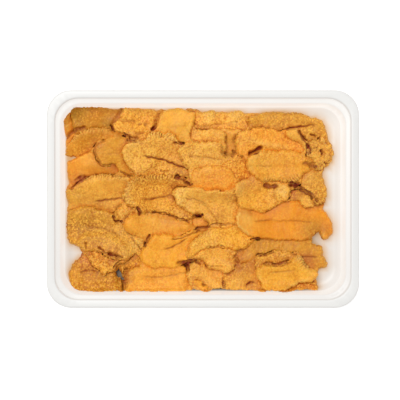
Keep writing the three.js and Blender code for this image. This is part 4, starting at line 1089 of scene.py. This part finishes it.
class Skin:  # one tongue's surface: its points, how far they move, and the masks of its colours
    def __init__(self, mesh, shape, depth, cover, seed):
        self.shape = shape
        self.seed = seed
        self.noises = {}
        self.points = readPoints(mesh)
        self.normals = readNormals(mesh)
        self.inward = np.clip(sample(depth, self.points), 0, None)
        self.beside = np.clip(-sample(cover, self.points), 0, None)
        self.top = smoothStep(-relief["topTilt"], relief["topTilt"], self.normals[:, 2])
        self.patchy = 0.5 + 0.5 * self.noise(relief["patchSize"], 13)
        count = len(self.points)
        self.lift, self.outward, self.creaseShade = np.zeros((3, count))
        self.pale, self.warm, self.drab = (np.full(count, float(shape[k])) for k in ("pale", "warm", "drab"))
        self.grain = shape["grain"] * (0.55 + 0.7 * self.patchy)

    def noise(self, size, number):  # worked out once for each number
        if number not in self.noises:
            self.noises[number] = softNoise(self.points, size, self.seed + number)
        return self.noises[number]

    def shaken(self, amount, size, number):  # the points moved about, so that a line isn't drawn straight
        return self.points + amount * self.noise(size, number)[:, None]

    def spot(self, x, y, size, uneven=0, sharp=2):
        away = np.hypot(self.points[:, 0] - x, self.points[:, 1] - y) + uneven
        return bell(np.clip(away, 0, None), size, sharp)

    def folds(self):  # lumps, and streaks across the tongue
        s = relief
        plan = self.points[:, :2] - self.points[:, :2].mean(0)
        axis = np.linalg.eigh(np.cov(plan.T))[1][:, 1]
        lumps = sum(height * self.noise(size, k) for k, (height, size) in enumerate(s["lumps"]))
        self.lift += self.shape["lumps"] * lumps
        along, across = plan @ axis, plan @ [-axis[1], axis[0]]
        local = np.stack([along + s["streakSlant"] * np.abs(across), across, self.points[:, 2]], axis=1)
        streaks = softNoise(local * s["streakStretch"], s["streakSize"], self.seed + 2)
        self.lift += self.shape["streak"] * s["streakHeight"] * streaks * self.top
        # painted shade in the streaks' hollows
        self.creaseShade += s["streakDark"] * self.shape["streak"] * np.clip(-streaks, 0, 1) * self.top

    def grains(self):
        s = relief
        away = beads(self.points, s["beadSize"], self.seed + 3)
        bead = np.clip(1 - away / s["beadRadius"], 0, 1) - s["beadLevel"]
        self.lift += self.grain * s["beadHeight"] * bead
        # painted shade between the beads and painted highlight on their tops
        self.creaseShade += self.grain * s["beadShadeAndHighlight"] * smoothStep(0.6, 0.95, away)
        self.pale += self.grain * s["beadShadeAndHighlight"] * bead

    def crumbs(self):
        s = relief
        crumble = self.shape["crumble"]
        chunk = beads(self.points, s["chunkSize"], self.seed + 9)
        crack = np.clip(1 - np.abs(self.noise(s["crackSize"], 12)) * s["crackSharp"], 0, 1)
        height = s["chunkHeight"] * (s["chunkLevel"] - chunk) - s["crackDepth"] * crack ** 2
        self.lift += crumble * height * self.top
        # painted shade in the cracks and at the chunks' edges, painted highlight on the chunks
        self.creaseShade += crumble * (s["chunkDark"] * smoothStep(0.7, 1.0, chunk) + s["crackDark"] * crack ** 3)
        self.pale += crumble * s["chunkPale"] * smoothStep(0.5, 0.1, chunk)

    def comb(self, ring):  # ridges running in from the outline
        s = relief
        wave = np.stack([alongRing(self.points, ring), 0.3 * self.inward, 0 * self.inward], axis=1)
        ridge = np.clip(0.5 + 0.75 * softNoise(wave, s["combSize"], self.seed + 6), 0, 1)
        reach = s["combReach"] + s["combUneven"] * (0.5 + 0.5 * self.noise(3, 14))
        fade = self.shape["comb"] * bell(self.inward, reach) * smoothStep(0.25, 0.6, self.patchy)
        self.lift += fade * (s["combHeight"] * ridge - s["combLevel"]) * self.top
        # painted shade between the ridges, painted highlight on them
        self.creaseShade += fade * s["combDark"] * (1 - ridge) ** 2
        self.pale += fade * s["combPale"] * ridge
        self.outward += fade * (ridge - s["combOutLevel"]) * s["combOut"]

    def fringes(self):
        s = relief
        for line in self.shape["fringes"]:
            away, along, length = nearLine(self.points, line)
            near = bell(away, s["fringeReach"]) * fadeEnds(along, length, 0, 2)
            near *= smoothStep(-0.8, -0.1, self.normals[:, 2])
            turn = 2 * math.pi * (along + s["fringeSway"] * self.noise(2.6, 6)) / s["fringePitch"]
            comb = 0.5 + 0.5 * np.cos(turn) * (0.6 + 0.4 * self.noise(4, 18))
            self.lift += near * (s["fringeHeight"] * comb - s["fringeLevel"])
            # painted shade between the fringe's teeth, painted highlight on them
            self.creaseShade += near * s["fringeShadeAndHighlight"] * smoothStep(0.5, 0.95, 1 - comb)
            self.pale += near * s["fringeShadeAndHighlight"] * comb

    def grooves(self):
        s = relief
        for line, cutDepth in self.shape["grooves"]:
            away, along, length = nearLine(self.shaken(0.4, 2, 5), line)
            taper = fadeEnds(along, length, 0, 2.5) * 0.75 + 0.25
            taper = taper * (0.85 + 0.3 * self.noise(2.5, 15)) * self.top
            cut = bell(away, s["grooveWidth"]) * taper
            dip = bell(away, s["dipWidth"]) * taper
            self.lift -= cutDepth * (s["grooveDepth"] * cut + s["dipDepth"] * dip)
            # painted shade in the groove and the dip beside it
            self.creaseShade += s["grooveDark"] * min(1, cutDepth) * cut + s["dipDark"] * dip

    def bands(self):  # raised edges with a painted highlight
        for line, width, shine in self.shape["bands"]:
            away, along, length = nearLine(self.shaken(0.5, 2, 20), line)
            band = shine * bell(away, width) * fadeEnds(along, length, -0.5, 3)
            self.lift += relief["bandHeight"] * band * self.top
            self.pale += band

    def spots(self):  # pits with painted shade, mounds, and stains that are partly the roe's own colour and partly painted highlight and painted shade
        for x, y, size, pitDepth in self.shape["pits"]:
            hollow = self.spot(x, y, size, 0.6 * self.noise(1.8, 7), sharp=3) * self.top
            self.lift -= pitDepth * hollow
            self.creaseShade += relief["pitDark"] * hollow * min(1, pitDepth)
        for x, y, size, height in self.shape["mounds"]:
            self.lift += height * self.spot(x, y, size) * self.top
        for x, y, size, paler, warmer, drabber in self.shape["stains"]:
            patch = self.spot(x, y, size, 0.8 * self.noise(3, 8))
            self.pale += paler * patch
            self.warm += warmer * patch
            self.drab += drabber * patch

    def openings(self, margin=2):  # the parts of the gaps that cross this tongue
        low, high = self.points.min(0)[:2] - margin, self.points.max(0)[:2] + margin
        for line, width, holeDepth in gaps:
            if (np.max(line, 0) < low).any() or (np.min(line, 0) > high).any():
                continue
            away = nearLine(self.shaken(0.6, 1.7, 19), line)[0]
            hole = bell(away, width, 3) * holeDepth
            self.lift -= relief["gapDepth"] * hole * self.top
            # painted shade: the gap is darkened as well as dented
            self.creaseShade += relief["gapDark"] * hole

    def edges(self):  # painted shade where a neighbour lies on top, and a painted highlight along the tongue's own edge
        s = relief
        tight = self.noise(6, 16)
        beside = s["rosyBeside"] * bell(self.beside, s["rosyReach"]) * (0.7 + 0.3 * tight)
        # the rosy mask is painted shade near the neighbours' edges, with some random rosy patches; the blush
        # spots are painted shade too
        self.rosy = self.shape["rosy"] * (beside + s["rosyPatches"] * self.noise(7, 17))
        for x, y, size, amount in self.shape["blush"]:
            self.rosy += amount * self.spot(x, y, size, 1.2 * self.noise(3, 21))
        # painted shadow where a neighbour's edge lies on this tongue
        self.creaseShade += s["contactDark"] * bell(self.beside, s["contactReach"]) * smoothStep(0.2, 0.8, tight)
        self.pale += s["edgeHighlight"] * bell(self.inward, s["edgeReach"]) * self.top

    def settle(self, mesh):  # moves the points and writes the masks
        self.points += self.normals * self.lift[:, None]
        self.points[:, :2] += self.normals[:, :2] * self.outward[:, None]
        writePoints(mesh, keepInTray(self.points))
        for name in ("creaseShade", "pale", "warm", "drab", "rosy", "grain"):
            writeMask(mesh, name, np.clip(getattr(self, name), 0, 1))


def sculpt(mesh, shape, depth, cover, ring, seed):
    skin = Skin(mesh, shape, depth, cover, seed)
    skin.folds()
    skin.grains()
    if shape["crumble"]:
        skin.crumbs()
    skin.comb(ring)
    skin.fringes()
    skin.grooves()
    skin.bands()
    skin.spots()
    skin.openings()
    skin.edges()
    skin.settle(mesh)


def plotTongues(shapes):  # each tongue's edge, its part of the grid, and how deep inside it each cell lies
    s = laying
    rings, windows, depths = {}, {}, {}
    for key, shape in shapes.items():
        ring = smoothRing(shape["outline"])
        low, high = ring.min(0) - s["margin"], ring.max(0) + s["margin"]
        i0, i1 = np.searchsorted(gridX[0], [low[0], high[0]])
        j0, j1 = np.searchsorted(gridY[:, 0], [low[1], high[1]])
        window = (slice(j0, j1), slice(i0, i1))
        depths[key] = np.full(gridX.shape, -s["margin"])
        depths[key][window] = depthInside(gridX[window], gridY[window], ring)
        rings[key], windows[key] = ring, window
    plan = np.stack([gridX.ravel(), gridY.ravel(), 0 * gridX.ravel()], axis=1)
    fromWall = -wayOut(gridX, gridY, s["calmInset"])[0]
    free = s["calmShare"] + (1 - s["calmShare"]) * smoothStep(*s["calmReach"], fromWall)
    for order, (key, shape) in enumerate(shapes.items()):  # edges are torn, but less along the wall
        torn = sum(amount * softNoise(plan, size, seed + order) for amount, size, seed in s["tears"])
        depths[key] += shape["ragged"] * (torn.reshape(gridX.shape) * free) + shape["grow"]
    return rings, windows, depths


def makeTongues(materials):
    shapes = {key: {**common, **own} for key, own in tongues.items()}
    rings, windows, depths = plotTongues(shapes)
    floorHeights = trayHeights()
    heights = floorHeights.copy()
    keys = list(shapes)
    for order, (key, shape) in enumerate(shapes.items()):
        node = "tongue_" + key
        window = windows[key]
        cover = np.full(gridX.shape, -laying["farOff"])
        for later in keys[order + 1:]:
            cover = np.maximum(cover, depths[later])
        tucked = (depths[key] + cover + shape["web"]) / 2  # carries on under its neighbours
        depth = np.maximum(depths[key], np.minimum(tucked, depths[key] + laying["tuck"]))
        top, bottom, middle = layTongue(node, shape, depth, window, heights, floorHeights, cover)
        heights[window] = np.where(depth[window] > 0, np.maximum(heights[window], top), heights[window])
        mesh = pillow("roe_" + key, depth, window, top, bottom, middle)
        piece = bpy.data.objects.new("roe_" + key, mesh)
        scene.collection.objects.link(piece)
        applyModifier(piece, "REMESH", mode="VOXEL", voxel_size=shape["voxel"] * mm, adaptivity=0)
        applyModifier(piece, "SMOOTH", factor=0.5, iterations=1)
        sculpt(piece.data, shape, depth, cover, rings[key], 100 * order + 7)
        bpy.ops.object.shade_smooth()
        piece.data.materials.append(materials[shape["slot"]])
        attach(piece, "root")
        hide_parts(node)
    return np.max(list(depths.values()), axis=0)


def paintRoeShadeOnTray(piece, covered):  # painted shadow and painted warm bounce light on the tray beside the roe
    s = trayLook
    points = readPoints(piece.data)
    outside = np.clip(-sample(covered, points), 0, None)
    near = s["bounceShare"] * np.exp(-outside / s["bounceReach"])
    near += s["contactShare"] * np.exp(-outside / s["contactReach"])
    near *= 1 - smoothStep(*s["bounceHeight"], points[:, 2])
    writeMask(piece.data, "roe_shade_and_bounce", near * (readNormals(piece.data)[:, 2] > 0))


studio = {
    "cameraX": -1.7, "cameraY": -0.6, "cameraHeight": 900, "lens": 135.3, "sensor": 36,
    "world": 0.46, "floorSize": 6, "floorDrop": 0.2, "floorWhite": 0.97, "floorRoughness": 0.9,
    "floorGlow": 0.45,
    "lights": {"key_light": ((-0.55, 0.7, 2.3), 1.0, 36.0), "fill_light": ((1.2, -0.9, 1.8), 2.0, 5.0)},
}


def makeStudio():
    s = studio
    white = (1, 1, 1, 1)
    bpy.ops.object.select_all(action="DESELECT")
    bpy.ops.mesh.primitive_plane_add(size=s["floorSize"], location=(0, 0, -s["floorDrop"] * mm))
    floor = bpy.context.object
    floor.name = "studio_floor"
    paint = Shader("studio_floor_white")
    floor.data.materials.append(paint.finish(
        Base_Color=(s["floorWhite"], s["floorWhite"], s["floorWhite"], 1), Roughness=s["floorRoughness"],
        Emission_Color=white, Emission_Strength=s["floorGlow"],
    ))

    world = bpy.data.worlds.new("studio_world")
    scene.world = world
    world.use_nodes = True
    sky = world.node_tree.nodes["Background"].inputs
    sky["Color"].default_value = white
    sky["Strength"].default_value = s["world"]

    for name, (place, size, power) in s["lights"].items():
        light = bpy.data.lights.new(name, "AREA")
        light.shape = "SQUARE"
        light.size = size
        light.energy = power
        lamp = bpy.data.objects.new(name, light)
        scene.collection.objects.link(lamp)
        lamp.location = place
        lamp.rotation_euler = (-lamp.location).to_track_quat("-Z", "Y").to_euler()

    lens = bpy.data.cameras.new("camera")
    lens.lens = s["lens"]
    lens.sensor_width = s["sensor"]
    lens.clip_start = 0.01
    camera = bpy.data.objects.new("camera", lens)
    scene.collection.objects.link(camera)
    camera.location = (s["cameraX"] * mm, s["cameraY"] * mm, s["cameraHeight"] * mm)
    scene.camera = camera
    scene.view_settings.view_transform = "Standard"


trayPiece = makeTray()
print("tray made")
roeMaterials = {slot: roeMaterial(slot) for slot in roeTones}
covered = makeTongues(roeMaterials)
paintRoeShadeOnTray(trayPiece, covered)
print("roe tongues made:", len(tongues))
makeStudio()
print("studio made")
